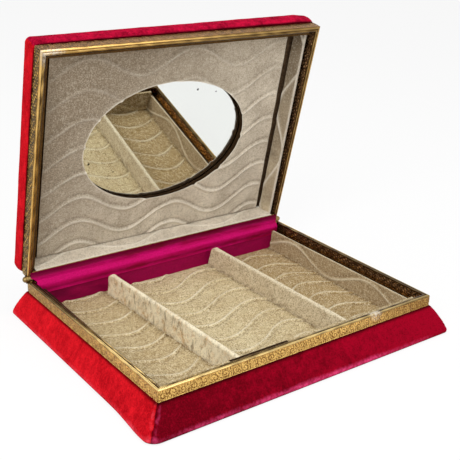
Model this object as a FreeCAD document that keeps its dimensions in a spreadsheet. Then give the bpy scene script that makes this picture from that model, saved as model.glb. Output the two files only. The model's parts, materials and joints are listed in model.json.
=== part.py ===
"""A table-top vanity box: a flared velvet tray and a mirrored lid, hinged in mitred brass frames.

Frame: millimetres, +X to the right, +Y to the hinge side, +Z up, origin at the middle of the
underside. Lid pieces are drawn closed, in place over the tray, and then swung open about the hinge.
"""
import os

import FreeCAD
import Part
import Sketcher
from FreeCAD import Placement, Rotation, Vector

DIMENSIONS = {
    # outer size of both brass frames, the height of their meeting plane, and the lid's opening
    "frame_width": 270.0,
    "frame_depth": 200.0,
    "tray_height": 32.4,
    "frame_gap": 0.5,
    "lid_angle": 77.9,
    # brass strip: a thin band with a rolled, double-ridged lip turned inwards
    "brass_gauge": 0.7,
    "tray_band": 9.4,
    "lid_band": 9.4,
    "bead_radius": 1.1,
    "lip_width": 4.4,
    "lip_depth": 1.3,
    "lip_edge": 0.6,
    "lip_crown": 0.4,
    "seat_flange": 5.4,
    # tray body: cloth under a bottom board, flared wall boards
    "bottom_cloth": 0.6,
    "bottom_board": 3.0,
    "wall_flare": 7.8,
    "wall_tuck": 1.8,
    "tray_wall": 2.8,
    # padded velvet over the wall boards: it rolls out under the band, falls to the foot and tucks under
    "velvet_hem": 0.3,
    "velvet_proud": 0.4,
    "roll_width": 1.9,
    "roll_drop": 1.35,
    "roll_bulge": 0.2,
    "velvet_flare": 11.9,
    "velvet_bulge": 0.6,
    "foot_height": 3.7,
    "foot_tuck": 0.6,
    "foot_bulge": 0.5,
    # plush inside the tray
    "floor_pad": 3.8,
    "pad_inset": 9.0,
    "pad_end_inset": 3.0,
    "lining": 2.4,
    "side_lining_inset": 14.0,
    "front_lining_inset": 11.0,
    "rear_lining_inset": 6.0,
    "rear_lining": 1.4,
    "lining_lean": 2.0,
    "lining_drop": 7.0,
    "rear_lining_drop": 10.0,
    "divider": 4.2,
    "divider_drop": 4.6,
    "divider_round": 1.6,
    "divider_clearance": 1.4,
    "divider_left_x": -57.0,
    "divider_left_turn": 2.2,
    "divider_left_slant": 3.0,
    "divider_right_x": 50.0,
    "divider_right_turn": 0.9,
    "divider_right_slant": 8.0,
    # lid body
    "lid_wall": 2.2,
    "wall_lap": 3.0,
    "lid_flare": 1.8,
    "lid_velvet_proud": 1.1,
    "lid_board_height": 21.2,
    "lid_board": 1.8,
    "velvet_top_front": 2.2,
    "velvet_top_rear": 0.9,
    "velvet_top_skirt": 2.8,
    "velvet_top_round": 3.4,
    # plush inside the lid
    "lid_lining": 1.6,
    "lid_lining_drop": 3.8,
    "lid_side_inset": 8.0,
    "lid_lining_slant": 3.0,
    "lid_rear_inset": 4.7,
    "panel_height": 16.3,
    "panel": 3.2,
    "panel_side_inset": 15.9,
    "panel_rear_inset": 5.1,
    "panel_depth": 181.0,
    # oval looking glass behind the panel
    "oval_width": 162.0,
    "oval_depth": 110.0,
    "oval_y": 1.4,
    "glass": 1.6,
    "glass_margin": 4.0,
    "glass_clearance": 0.4,
    # hinges at the two rear corners
    "hinge_setback": 1.6,
    "hinge_rise": 0.9,
    "hinge_length": 34.0,
    "barrel_radius": 2.8,
    "barrel_overhang": 1.2,
    "bore_radius": 1.25,
    "outer_knuckle": 10.0,
    "knuckle_gap": 0.3,
    "leaf": 0.8,
    "leaf_margin": 0.4,
    "hinge_room": 0.4,
    "pin_radius": 1.2,
    "pin_head_radius": 2.6,
    # satin ribbon over the hinge gap
    "ribbon": 0.6,
    "ribbon_drop": 11.2,
    "ribbon_room": 1.2,
    "ribbon_tuck": 0.4,
    # seams between pieces that lie against each other
    "seam": 0.05,
}

REACH = 160.0  # how far the mitre prisms reach from the middle of the box
TALL = 90.0  # height of the mitre prisms
OVERRUN = 1.0  # how far a cutting tool runs past what it cuts
GROOVE = 0.5  # depth of the groove beside the lip's bead, in bead radii
GROOVE_ACROSS = 1.866  # place of that groove across the bead, in bead radii
BEAD_BULGE = 0.741  # height of the bead's arc over its chord, in bead radii
TURNS = {"front": 0, "right": 90, "rear": 180, "left": -90}
UPRIGHT = Placement(Vector(), Rotation(Vector(1, 0, 0), 90))


class Size:
    """A length with its number and the spreadsheet expression that it comes from."""

    def __init__(self, number, text):
        self.number = number
        self.text = text

    def __add__(self, other):
        other = size(other)
        return Size(self.number + other.number, f"({self.text} + {other.text})")

    def __sub__(self, other):
        other = size(other)
        return Size(self.number - other.number, f"({self.text} - {other.text})")

    def __rsub__(self, other):
        return size(other) - self

    def __mul__(self, other):
        other = size(other)
        return Size(self.number * other.number, f"({self.text} * {other.text})")

    def __truediv__(self, other):
        other = size(other)
        return Size(self.number / other.number, f"({self.text} / {other.text})")

    def __neg__(self):
        return size(0) - self

    __radd__ = __add__
    __rmul__ = __mul__


def size(value):
    """A plain number as a Size."""
    return value if isinstance(value, Size) else Size(float(value), repr(float(value)))


doc = FreeCAD.newDocument("VanityBox")
sheet = doc.addObject("Spreadsheet::Sheet", "Dimensions")
for row, (alias, number) in enumerate(DIMENSIONS.items(), start=1):
    sheet.set(f"A{row}", alias)
    sheet.set(f"B{row}", str(number))
    sheet.setAlias(f"B{row}", alias)
doc.recompute()


class Cells:
    """The sheet's cells, read by alias."""

    def __getattr__(self, alias):
        return Size(float(sheet.get(alias)), f"Dimensions.{alias}")


cell = Cells()
nodes = []

half_width = cell.frame_width / 2
half_depth = cell.frame_depth / 2
tray_top = cell.tray_height
lid_bottom = tray_top + cell.frame_gap
band_foot = tray_top - cell.tray_band
board_top = cell.bottom_cloth + cell.bottom_board
floor_top = board_top + cell.floor_pad
hinge_y = half_depth + cell.hinge_setback
hinge_z = tray_top + cell.hinge_rise
hinge_swing = cell.barrel_radius + cell.hinge_room

LID_POSE = Placement(
    Vector(), Rotation(Vector(1, 0, 0), -cell.lid_angle.number), Vector(0, hinge_y.number, hinge_z.number)
)


def bind(thing, **sizes):
    """Set properties and bind them to their spreadsheet expressions."""
    for name, value in sizes.items():
        value = size(value)
        setattr(thing, name, value.number)
        thing.setExpression(name, value.text)
    return thing


def place(thing, x, y, z, rotation=Rotation()):
    """Turn an object and bind its place."""
    x, y, z = size(x), size(y), size(z)
    thing.Placement = Placement(Vector(x.number, y.number, z.number), rotation)
    for axis, value in zip("xyz", (x, y, z)):
        thing.setExpression(f".Placement.Base.{axis}", value.text)
    return thing


def node(thing, name, lid=False):
    """Register a finished sub-part under its name; a lid piece swings open about the hinge."""
    thing.Label = name
    if lid:
        thing.Placement = LID_POSE.multiply(thing.Placement)
    nodes.append(thing)


def boolean(kind, name, base, tool):
    """A Cut or Common of two objects."""
    thing = doc.addObject(f"Part::{kind}", name)
    thing.Base = base
    thing.Tool = tool
    return thing


def block(name, x, y, z):
    """A box between the pairs of sizes x, y and z."""
    thing = bind(doc.addObject("Part::Box", name), Length=x[1] - x[0], Width=y[1] - y[0], Height=z[1] - z[0])
    return place(thing, x[0], y[0], z[0])


def taper(thing, low, high, z):
    """Set a wedge upright: plan rectangle low at the first height, high at the second.

    A rectangle is (x from, x to, y from, y to).
    """
    bind(thing, Xmin=low[0], Xmax=low[1], Zmin=-low[3], Zmax=-low[2], Ymin=z[0], Ymax=z[1])
    bind(thing, X2min=high[0], X2max=high[1], Z2min=-high[3], Z2max=-high[2])
    thing.Placement = UPRIGHT
    return thing


def board(name, low, high, z):
    """A leaning or tapering board between two plan rectangles."""
    return taper(doc.addObject("Part::Wedge", name), low, high, z)


def centred(half):
    """The plan rectangle of the half width and half depth given."""
    return -half[0], half[0], -half[1], half[1]


def grown(amount):
    """Half width and half depth of the frames, grown by an amount all round."""
    return half_width + amount, half_depth + amount


def mitre(side):
    """The prism between the two mitre planes of one side of the box."""
    ridge = half_width - half_depth
    if side in ("front", "rear"):
        inner, inner_half, outer_half = size(0), ridge, ridge + REACH
    else:
        inner, inner_half, outer_half = ridge + 1, size(1), REACH - ridge
    prism = doc.addObject("Part::Wedge", f"mitre_{side}")
    bind(prism, Xmin=-outer_half, Xmax=outer_half, X2min=-inner_half, X2max=inner_half)
    bind(prism, Ymin=-REACH, Ymax=-inner, Zmin=-OVERRUN, Zmax=TALL, Z2min=-OVERRUN, Z2max=TALL)
    prism.Placement = Placement(Vector(), Rotation(Vector(0, 0, 1), TURNS[side]))
    return prism


mitres = {side: mitre(side) for side in TURNS}


def mitred(prefix, ring, lid=False):
    """Four mitred sides cut from a ring."""
    for side in TURNS:
        node(boolean("Common", f"{prefix}_{side}_piece", ring, mitres[side]), f"{prefix}_{side}", lid)


def arc_middle(start, end, bulge):
    """The point that an arc passes halfway, bulge to the right of the way from start to end."""
    along = (end - start).normalize()
    return (start + end) / 2 + Vector(along.y, -along.x, 0) * bulge


def outline(body, name, plane, steps):
    """A closed sketch in one of the body's origin planes, with every corner bound.

    A step is (across, up), reached by a line, or (across, up, bulge), reached by an arc.
    """
    sketch = body.newObject("Sketcher::SketchObject", name)
    support = next(feature for feature in body.Origin.OriginFeatures if feature.Role == plane)
    sketch.AttachmentSupport = (support, [""])
    sketch.MapMode = "FlatFace"
    corners = [Vector(step[0].number, step[1].number, 0) for step in steps]

    def end_at(edge, corner):
        return min((1, 2), key=lambda end: sketch.getPoint(edge, end).distanceToPoint(corner))

    for index, step in enumerate(steps):
        start, end = corners[index - 1], corners[index]
        if len(step) == 2:
            sketch.addGeometry(Part.LineSegment(start, end))
        else:
            sketch.addGeometry(Part.Arc(start, arc_middle(start, end, step[2].number), end))
    for index, step in enumerate(steps):
        following = (index + 1) % len(steps)
        ends = index, end_at(index, corners[index]), following, end_at(following, corners[index])
        sketch.addConstraint(Sketcher.Constraint("Coincident", *ends))
        for kind, axis, value in (("DistanceX", -2, step[0]), ("DistanceY", -1, step[1])):
            if value.number == 0:
                sketch.addConstraint(Sketcher.Constraint("PointOnObject", ends[0], ends[1], axis))
            else:
                datum = sketch.addConstraint(Sketcher.Constraint(kind, -1, 1, ends[0], ends[1], value.number))
                sketch.setExpression(f"Constraints[{datum}]", value.text)
        if len(step) == 3:
            before = steps[index - 1]
            across, up, bulge = step[0] - before[0], step[1] - before[1], step[2]
            bulge = bulge if bulge.number > 0 else -bulge
            radius = ((across * across + up * up) / 4 + bulge * bulge) / (bulge * 2)
            datum = sketch.addConstraint(Sketcher.Constraint("Radius", index, radius.number))
            sketch.setExpression(f"Constraints[{datum}]", radius.text)
    return sketch


def bar(name, steps, length):
    """A section in the upright plane across the box, run to a length along X."""
    body = doc.addObject("PartDesign::Body", name)
    pad = body.newObject("PartDesign::Pad", f"{name}_run")
    pad.Profile = outline(body, f"{name}_section", "YZ_Plane", steps)
    pad.SideType = "Symmetric"
    bind(pad, Length=length)
    body.Tip = pad
    return body


def oval(name, margin, z):
    """An oval plate or cutter over the looking glass, between the heights z."""
    ellipse = bind(
        doc.addObject("Part::Ellipse", f"{name}_outline"),
        MajorRadius=cell.oval_width / 2 + margin,
        MinorRadius=cell.oval_depth / 2 + margin,
    )
    place(ellipse, 0, cell.oval_y, z[0])
    plate = doc.addObject("Part::Extrusion", name)
    plate.Base = ellipse
    plate.DirMode = "Custom"
    plate.Dir = Vector(0, 0, 1)
    plate.Solid = True
    return bind(plate, LengthFwd=z[1] - z[0])


# Brass frames
def strip_section(half, meeting, up, band, seated):
    """Section of a rear strip. up is -1 for the tray's, which hangs from the meeting plane, 1 for the lid's.

    A seated strip also turns inwards at its other edge, to sit on the wall board.
    """
    bead, lip, gauge = cell.bead_radius, cell.lip_width, cell.brass_gauge

    def at(inwards, away, *bulge):
        return half - inwards, meeting + up * away, *bulge

    steps = [
        at(size(0), band),
        at(size(0), bead),
        at(bead * GROOVE_ACROSS, bead * GROOVE, -up * bead * BEAD_BULGE),
        at(lip, cell.lip_edge, -up * cell.lip_crown),
        at(lip, cell.lip_depth),
        at(gauge, cell.lip_depth),
    ]
    if not seated:
        return steps + [at(gauge, band)]
    seat = cell.seat_flange
    return steps + [at(gauge, band - gauge), at(seat, band - gauge), at(seat, band)]


def hinge_notches(prefix, z):
    """Room in the frames for the knuckles at the two rear corners."""
    inner = half_width + cell.barrel_overhang - cell.hinge_length - cell.hinge_room
    outer = half_width + OVERRUN
    y = (hinge_y - hinge_swing, half_depth + OVERRUN)
    return {
        "left": block(f"{prefix}_notch_left", (-outer, -inner), y, z),
        "right": block(f"{prefix}_notch_right", (inner, outer), y, z),
    }


def frame(prefix, meeting, up, band, notches, seated, lid=False):
    """Four mitred strips of one frame, notched for the hinges at the rear."""
    for side, turn in TURNS.items():
        half, length = half_depth, cell.frame_width
        if side in ("left", "right"):
            half, length = half_width, cell.frame_depth
        strip = bar(f"{prefix}_{side}_strip", strip_section(half, meeting, up, band, seated), length)
        strip.Placement = Placement(Vector(), Rotation(Vector(0, 0, 1), turn + 180))
        piece = boolean("Common", f"{prefix}_{side}_mitred", strip, mitres[side])
        for corner in notches:
            if side in ("rear", corner):
                piece = boolean("Cut", f"{prefix}_{side}_cut_{corner}", piece, notches[corner])
        node(piece, f"{prefix}_{side}", lid)


tray_notches = hinge_notches("tray", (hinge_z - hinge_swing, tray_top + OVERRUN))
lid_notches = hinge_notches("lid", (lid_bottom - OVERRUN, hinge_z + hinge_swing))
frame("base_rim", tray_top, -1, cell.tray_band, tray_notches, seated=True)
frame("lid_rim", lid_bottom, 1, cell.lid_band, lid_notches, seated=False, lid=True)

# Tray body
velvet_edge = band_foot - cell.seam


def wall_half(z, inset):
    """Half sizes of the wall boards' flared outer face at a height, inset by an amount."""
    slope = (cell.wall_flare + cell.wall_tuck) / (velvet_edge - cell.velvet_hem)
    return grown(cell.wall_flare - slope * (z - cell.velvet_hem) - inset)


def wall_shell(name, inset, z):
    """A solid that follows the wall boards between two heights."""
    return board(name, centred(wall_half(z[0], inset)), centred(wall_half(z[1], inset)), z)


def run_over(z):
    """A pair of heights with a cutting tool's overrun at both ends."""
    return z[0] - OVERRUN, z[1] + OVERRUN


board_half = wall_half(board_top, cell.seam * 4)
board_x, board_y = (-board_half[0], board_half[0]), (-board_half[1], board_half[1])
node(block("bottom_cloth_sheet", board_x, board_y, (size(0), cell.bottom_cloth)), "base_bottom_cloth")
node(block("bottom_board_sheet", board_x, board_y, (cell.bottom_cloth, board_top)), "base_bottom_board")

wall_z = (board_top, band_foot)
wall_outer = wall_shell("tray_wall_outer", cell.seam, wall_z)
wall_inner = wall_shell("tray_wall_inner", cell.tray_wall, run_over(wall_z))
mitred("base_wall", boolean("Cut", "tray_wall_ring", wall_outer, wall_inner))


def velvet_section(half):
    """Section of the velvet on the rear side: down the padded face from the band, and back up the board."""
    edge, hem = half + cell.velvet_proud, half + cell.velvet_flare
    return [
        (edge, velvet_edge),
        (edge + cell.roll_width, velvet_edge - cell.roll_drop, -cell.roll_bulge),
        (hem, cell.velvet_hem + cell.foot_height, -cell.velvet_bulge),
        (hem - cell.foot_tuck, cell.velvet_hem, -cell.foot_bulge),
        (half + cell.wall_flare, cell.velvet_hem),
        (half - cell.wall_tuck, velvet_edge),
    ]


for side, turn in TURNS.items():
    half = half_width if side in ("left", "right") else half_depth
    padding = bar(f"tray_velvet_{side}_run", velvet_section(half), size(2 * REACH))
    padding.Placement = Placement(Vector(), Rotation(Vector(0, 0, 1), turn + 180))
    node(boolean("Common", f"tray_velvet_{side}", padding, mitres[side]), f"base_velvet_{side}")

# Plush inside the tray
pad_x = half_width - cell.pad_inset
pad_y = half_depth - cell.pad_end_inset
floor_pad = block("floor_pad_sheet", (-pad_x, pad_x), (-pad_y, pad_y), (board_top, floor_top))
node(floor_pad, "base_floor_pad")

side_face = half_width - cell.side_lining_inset
front_face = half_depth - cell.front_lining_inset
rear_face = half_depth - cell.rear_lining_inset
lean, card = cell.lining_lean, cell.lining
lining_z = (floor_top, tray_top - cell.lining_drop)
side_y = (-(front_face + card), rear_face - cell.ribbon_room)
for side, sign in (("left", -1), ("right", 1)):
    spans = []
    for face in (side_face, side_face + lean):
        near, far = face * sign, (face + card) * sign
        spans.append((near, far) if sign > 0 else (far, near))
    low, high = ((*span, *side_y) for span in spans)
    node(board(f"tray_lining_{side}", low, high, lining_z), f"base_lining_{side}")
low_x, high_x = side_face - cell.seam, side_face + lean - cell.seam
front_low = (-low_x, low_x, -(front_face + card), -front_face)
front_high = (-high_x, high_x, -(front_face + lean + card), -(front_face + lean))
node(board("tray_lining_front", front_low, front_high, lining_z), "base_lining_front")
rear_x = side_face + lean + card
rear_plan = (-rear_x, rear_x, rear_face, rear_face + cell.rear_lining)
rear_z = (floor_top, tray_top - cell.rear_lining_drop)
node(board("tray_lining_rear", rear_plan, rear_plan, rear_z), "base_lining_rear")

divider_y = -(front_face - cell.divider_clearance)
divider_length = rear_face - cell.divider_clearance - divider_y
divider_height = tray_top - cell.divider_drop - floor_top


def divider(name, front_x, turn, slant):
    """A plush-covered card with a rounded top and a raked rear end, a little out of square."""
    flat, top_rear = size(0), divider_length - slant
    steps = [(flat, flat), (divider_length, flat), (top_rear, divider_height), (flat, divider_height)]
    body = bar(f"{name}_card", steps, cell.divider)
    run = body.Tip
    doc.recompute()
    top = divider_height.number
    long_edges = [
        f"Edge{index}"
        for index, edge in enumerate(run.Shape.Edges, start=1)
        if edge.BoundBox.ZMin > top - 0.01 and edge.BoundBox.YLength > top
    ]
    fillet = body.newObject("PartDesign::Fillet", f"{name}_top")
    fillet.Base = (run, long_edges)
    bind(fillet, Radius=cell.divider_round)
    body.Tip = fillet
    place(body, front_x, divider_y, floor_top, Rotation(Vector(0, 0, 1), turn.number))
    node(body, name)


divider("divider_left", cell.divider_left_x, cell.divider_left_turn, cell.divider_left_slant)
divider("divider_right", cell.divider_right_x, cell.divider_right_turn, cell.divider_right_slant)

# Lid body
wall_face = -(cell.brass_gauge + cell.seam)
lid_wall_z = (lid_bottom + cell.lid_band - cell.wall_lap, lid_bottom + cell.lid_board_height)
lid_board_z = (lid_wall_z[1], lid_wall_z[1] + cell.lid_board)
lid_velvet_z = (lid_bottom + cell.lid_band + cell.seam, lid_board_z[1] - cell.velvet_top_skirt)


def lid_block(name, amount, z, over=0.0):
    """A straight block on the frame's plan, grown by an amount, run over at both ends."""
    plan = centred(grown(amount))
    return board(name, plan, plan, (z[0] - over, z[1] + over))


lid_wall_outer = lid_block("lid_wall_outer", wall_face, lid_wall_z)
lid_wall_inner = lid_block("lid_wall_inner", wall_face - cell.lid_wall, lid_wall_z, OVERRUN)
mitred("lid_wall", boolean("Cut", "lid_wall_ring", lid_wall_outer, lid_wall_inner), lid=True)
node(lid_block("lid_top_sheet", wall_face, lid_board_z), "lid_top_board", lid=True)

lid_velvet_low, lid_velvet_high = centred(grown(cell.lid_velvet_proud)), centred(grown(cell.lid_flare))
lid_velvet_outer = board("lid_velvet_outer", lid_velvet_low, lid_velvet_high, lid_velvet_z)
lid_velvet_inner = lid_block("lid_velvet_inner", wall_face + cell.seam, lid_velvet_z, OVERRUN)
mitred("lid_velvet", boolean("Cut", "lid_velvet_ring", lid_velvet_outer, lid_velvet_inner), lid=True)


def velvet_crown():
    """The lid's padded top: thicker at the front, rounded at its edges and turned down round the board."""
    front, low = half_depth + cell.lid_flare, lid_velvet_z[1]
    board_face = lid_board_z[1]
    steps = [
        (-front, low),
        (front, low),
        (front, board_face + cell.velvet_top_rear),
        (-front, board_face + cell.velvet_top_front),
    ]
    body = bar("lid_velvet_pad", steps, (half_width + cell.lid_flare) * 2)
    run = body.Tip
    doc.recompute()
    upper = [
        f"Edge{index}"
        for index, edge in enumerate(run.Shape.Edges, start=1)
        if edge.BoundBox.ZMin > board_face.number
    ]
    fillet = body.newObject("PartDesign::Fillet", "lid_velvet_edges")
    fillet.Base = (run, upper)
    bind(fillet, Radius=cell.velvet_top_round)
    body.Tip = fillet
    room = lid_block("lid_velvet_room", wall_face + cell.seam, (low - OVERRUN, board_face))
    return boolean("Cut", "lid_velvet_crown", body, room)


node(velvet_crown(), "lid_velvet_top", lid=True)

# Plush inside the lid, and the looking glass behind its oval opening
panel_z = (lid_bottom + cell.panel_height, lid_bottom + cell.panel_height + cell.panel)
lid_lining_z = (lid_bottom + cell.lid_lining_drop, panel_z[1])
lid_card, slant = cell.lid_lining, cell.lid_lining_slant
lid_side = half_width - cell.lid_side_inset
lid_front = half_depth - cell.lid_side_inset
lid_rear = half_depth - cell.lid_rear_inset
lid_side_y = (-(lid_front + lid_card), lid_rear + lid_card)
for side, sign in (("left", -1), ("right", 1)):
    spans = []
    for face in (lid_side, lid_side - slant):
        near, far = face * sign, (face + lid_card) * sign
        spans.append((near, far) if sign > 0 else (far, near))
    low, high = ((*span, *lid_side_y) for span in spans)
    node(board(f"lid_lining_card_{side}", low, high, lid_lining_z), f"lid_lining_{side}", lid=True)
low_x, high_x = lid_side - cell.seam, lid_side - slant - cell.seam
front_low = (-low_x, low_x, -(lid_front + lid_card), -lid_front)
front_high = (-high_x, high_x, -(lid_front - slant + lid_card), -(lid_front - slant))
node(board("lid_lining_card_front", front_low, front_high, lid_lining_z), "lid_lining_front", lid=True)
rear_low = (-low_x, low_x, lid_rear, lid_rear + lid_card)
rear_high = (-high_x, high_x, lid_rear, lid_rear + lid_card)
node(board("lid_lining_card_rear", rear_low, rear_high, lid_lining_z), "lid_lining_rear", lid=True)

panel_x = half_width - cell.panel_side_inset
panel_y = (half_depth - cell.panel_rear_inset - cell.panel_depth, half_depth - cell.panel_rear_inset)
panel_card = block("panel_card", (-panel_x, panel_x), panel_y, panel_z)
panel_hole = oval("panel_hole", size(0), (panel_z[0] - OVERRUN, panel_z[1] + OVERRUN))
node(boolean("Cut", "panel_with_oval", panel_card, panel_hole), "lid_panel", lid=True)

spacer_z = (panel_z[1], lid_board_z[0])
spacer = lid_block("spacer_card", wall_face - cell.lid_wall - cell.seam, spacer_z)
spacer_hole = oval(
    "spacer_hole", cell.glass_margin + cell.glass_clearance, (spacer_z[0] - OVERRUN, spacer_z[1] + OVERRUN)
)
node(boolean("Cut", "spacer_with_oval", spacer, spacer_hole), "lid_panel_spacer", lid=True)
glass_z = (panel_z[1] + cell.seam, panel_z[1] + cell.seam + cell.glass)
node(oval("glass_plate", cell.glass_margin, glass_z), "mirror_glass", lid=True)

# Hinges
ALONG_X = Rotation(Vector(0, 1, 0), 90)
barrel_end = half_width + cell.barrel_overhang
barrel_start = barrel_end - cell.hinge_length
outer_spans = (
    (barrel_end - cell.outer_knuckle, barrel_end),
    (barrel_start, barrel_start + cell.outer_knuckle),
)
middle_spans = ((outer_spans[1][1] + cell.knuckle_gap, outer_spans[0][0] - cell.knuckle_gap),)
leaf_y = (half_depth, half_depth + cell.leaf)


def mirrored(span, sign):
    """A span along X, on the right (1) or the left (-1) of the box."""
    return span if sign > 0 else (-span[1], -span[0])


def rod(name, span, radius):
    """A round along the hinge's axis."""
    thing = bind(doc.addObject("Part::Cylinder", name), Radius=radius, Height=span[1] - span[0])
    return place(thing, span[0], hinge_y, hinge_z, ALONG_X)


def hinge_leaf(name, sign, spans, up, plate_z, lid):
    """A leaf on the outside of a rear strip, with its knuckles and their necks, bored for the pin."""
    low, high = sorted(plate_z, key=lambda value: value.number)
    pieces = [block(f"{name}_plate", mirrored((barrel_start, half_width), sign), leaf_y, (low, high))]
    for index, span in enumerate(spans):
        x = mirrored(span, sign)
        pieces.append(rod(f"{name}_knuckle_{index}", x, cell.barrel_radius))
        neck = sorted((plate_z[0], hinge_z + up * cell.bore_radius), key=lambda value: value.number)
        pieces.append(block(f"{name}_neck_{index}", x, leaf_y, neck))
    solid = doc.addObject("Part::MultiFuse", f"{name}_solid")
    solid.Shapes = pieces
    bore_span = (barrel_start - OVERRUN, barrel_end + OVERRUN)
    bore = rod(f"{name}_bore", mirrored(bore_span, sign), cell.bore_radius)
    node(boolean("Cut", f"{name}_bored", solid, bore), name, lid)


def hinge_pin(name, sign):
    """A straight pin with a domed head against the outer end of the barrel."""
    head = bind(doc.addObject("Part::Sphere", f"{name}_head"), Radius=cell.pin_head_radius)
    head.Angle1 = 0
    place(head, barrel_end * sign, hinge_y, hinge_z, Rotation(Vector(0, 1, 0), 90 * sign))
    shaft = rod(f"{name}_shaft", mirrored((barrel_start, barrel_end), sign), cell.pin_radius)
    pin = doc.addObject("Part::MultiFuse", f"{name}_solid")
    pin.Shapes = [shaft, head]
    node(pin, name)


for side, sign in (("left", -1), ("right", 1)):
    tray_plate = (hinge_z - hinge_swing, band_foot + cell.leaf_margin)
    lid_plate = (hinge_z + hinge_swing, lid_bottom + cell.lid_band - cell.leaf_margin)
    hinge_leaf(f"hinge_base_leaf_{side}", sign, outer_spans, -1, tray_plate, lid=False)
    hinge_leaf(f"hinge_lid_leaf_{side}", sign, middle_spans, 1, lid_plate, lid=True)
    hinge_pin(f"hinge_pin_{side}", sign)


# Satin ribbon, drawn as it hangs with the lid open: from the lid's lining over both lips to the tray's lining
def ribbon_shape():
    """A strip of one thickness along a path of four points in the upright plane across the box."""
    thick, room = cell.ribbon.number, cell.ribbon.number / 2
    lip = (half_depth - cell.lip_width).number - room
    path = [
        LID_POSE.multVec(Vector(0, lip, (lid_lining_z[0] - cell.ribbon_tuck).number)),
        LID_POSE.multVec(Vector(0, lip, lid_bottom.number - room)),
        Vector(0, lip, tray_top.number + room),
        Vector(0, rear_face.number - room, tray_top.number - cell.ribbon_drop.number),
    ]
    ways = [(end - start).normalize() for start, end in zip(path, path[1:])]
    turns = [ways[0]] + [(before + after).normalize() for before, after in zip(ways, ways[1:])] + [ways[-1]]
    offsets = [Vector(0, way.z, -way.y) * thick for way in turns]
    face = [point + offset for point, offset in zip(path, offsets)]
    outer = path + face[::-1]
    reach = half_width.number - cell.seat_flange.number - room
    start = [Vector(-reach, point.y, point.z) for point in outer]
    return Part.Face(Part.makePolygon(start + start[:1])).extrude(Vector(2 * reach, 0, 0))


ribbon = doc.addObject("Part::Feature", "ribbon_strip")
ribbon.Shape = ribbon_shape()
node(ribbon, "hinge_ribbon")

# Build, test and write
doc.recompute()
failed = [thing.Label for thing in doc.Objects if {"Invalid", "Error"} & set(thing.State)]
failed += [thing.Label for thing in nodes if thing.Shape.isNull() or not thing.Shape.isValid()]
if failed:
    raise RuntimeError(f"not built: {failed}")
os.makedirs("parts", exist_ok=True)
for thing in nodes:
    thing.Shape.exportStep(os.path.join("parts", f"{thing.Label}.step"))
print(len(nodes), "nodes")
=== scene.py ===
"""Looks of a velvet vanity box with brass frames, plush lining and an oval looking glass."""
import json
import math

import bmesh
import bpy
import numpy as np
from mathutils import Matrix, Vector

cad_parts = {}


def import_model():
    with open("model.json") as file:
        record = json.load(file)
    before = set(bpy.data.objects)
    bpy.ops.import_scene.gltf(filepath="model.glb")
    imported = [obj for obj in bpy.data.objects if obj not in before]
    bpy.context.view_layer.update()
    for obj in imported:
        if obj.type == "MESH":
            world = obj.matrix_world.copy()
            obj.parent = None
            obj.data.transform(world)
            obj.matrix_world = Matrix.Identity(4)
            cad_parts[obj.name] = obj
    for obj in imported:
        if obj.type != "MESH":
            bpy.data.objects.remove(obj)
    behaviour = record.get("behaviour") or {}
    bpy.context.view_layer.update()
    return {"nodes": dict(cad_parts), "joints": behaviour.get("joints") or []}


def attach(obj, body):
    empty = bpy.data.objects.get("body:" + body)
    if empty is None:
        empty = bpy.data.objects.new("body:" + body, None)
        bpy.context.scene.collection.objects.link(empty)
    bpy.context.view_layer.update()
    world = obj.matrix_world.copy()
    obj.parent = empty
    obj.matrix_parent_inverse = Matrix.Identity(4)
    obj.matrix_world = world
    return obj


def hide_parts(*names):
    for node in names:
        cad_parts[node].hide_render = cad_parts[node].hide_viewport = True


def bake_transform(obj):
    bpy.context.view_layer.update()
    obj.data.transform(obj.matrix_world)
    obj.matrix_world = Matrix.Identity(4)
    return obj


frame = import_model()

MM = 0.001  # the script's shapes are in millimetres, the scene is in metres
SIDES = ("front", "right", "rear", "left")
hinge = frame["joints"][0]
pivot = Vector(hinge["pos_m"])
lid_turn = Matrix.Rotation(math.radians(-hinge["range_deg"][0]), 4, Vector(hinge["axis"]))
LID_OPEN = Matrix.Translation(pivot) @ lid_turn @ Matrix.Translation(-pivot)


def reach(node, shut=False):
    """Lowest and highest corner of a node in millimetres, as it is or with the lid shut."""
    points = np.array([vertex.co for vertex in frame["nodes"][node].data.vertices])
    if shut:
        back = np.array(LID_OPEN.inverted())
        points = points @ back[:3, :3].T + back[:3, 3]
    return points.min(0) / MM, points.max(0) / MM


rim_low, rim_high = reach("base_rim_front")
HALF_X, HALF_Y = rim_high[0], -rim_low[1]
BAND_FOOT, RIM_TOP = rim_low[2], rim_high[2]
LID_RIM = reach("lid_rim_front", shut=True)[0][2]
LID_BAND_TOP = reach("lid_rim_front", shut=True)[1][2]


# Shapes
def lumps(x, y, length, seed):
    """Smooth uneven swelling from -1 to 1 over about a length in millimetres."""
    rng = np.random.default_rng(seed)
    total = 0
    for _ in range(6):
        turn, phase = rng.uniform(0, 2 * math.pi, 2)
        wave = 2 * math.pi / (length * rng.uniform(0.7, 1.6))
        total = total + np.sin(wave * (x * math.cos(turn) + y * math.sin(turn)) + phase)
    return total / 4


def bell(distance, width):
    """1 at no distance, falling off over a width."""
    return np.exp(-((distance / width) ** 2))


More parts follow.
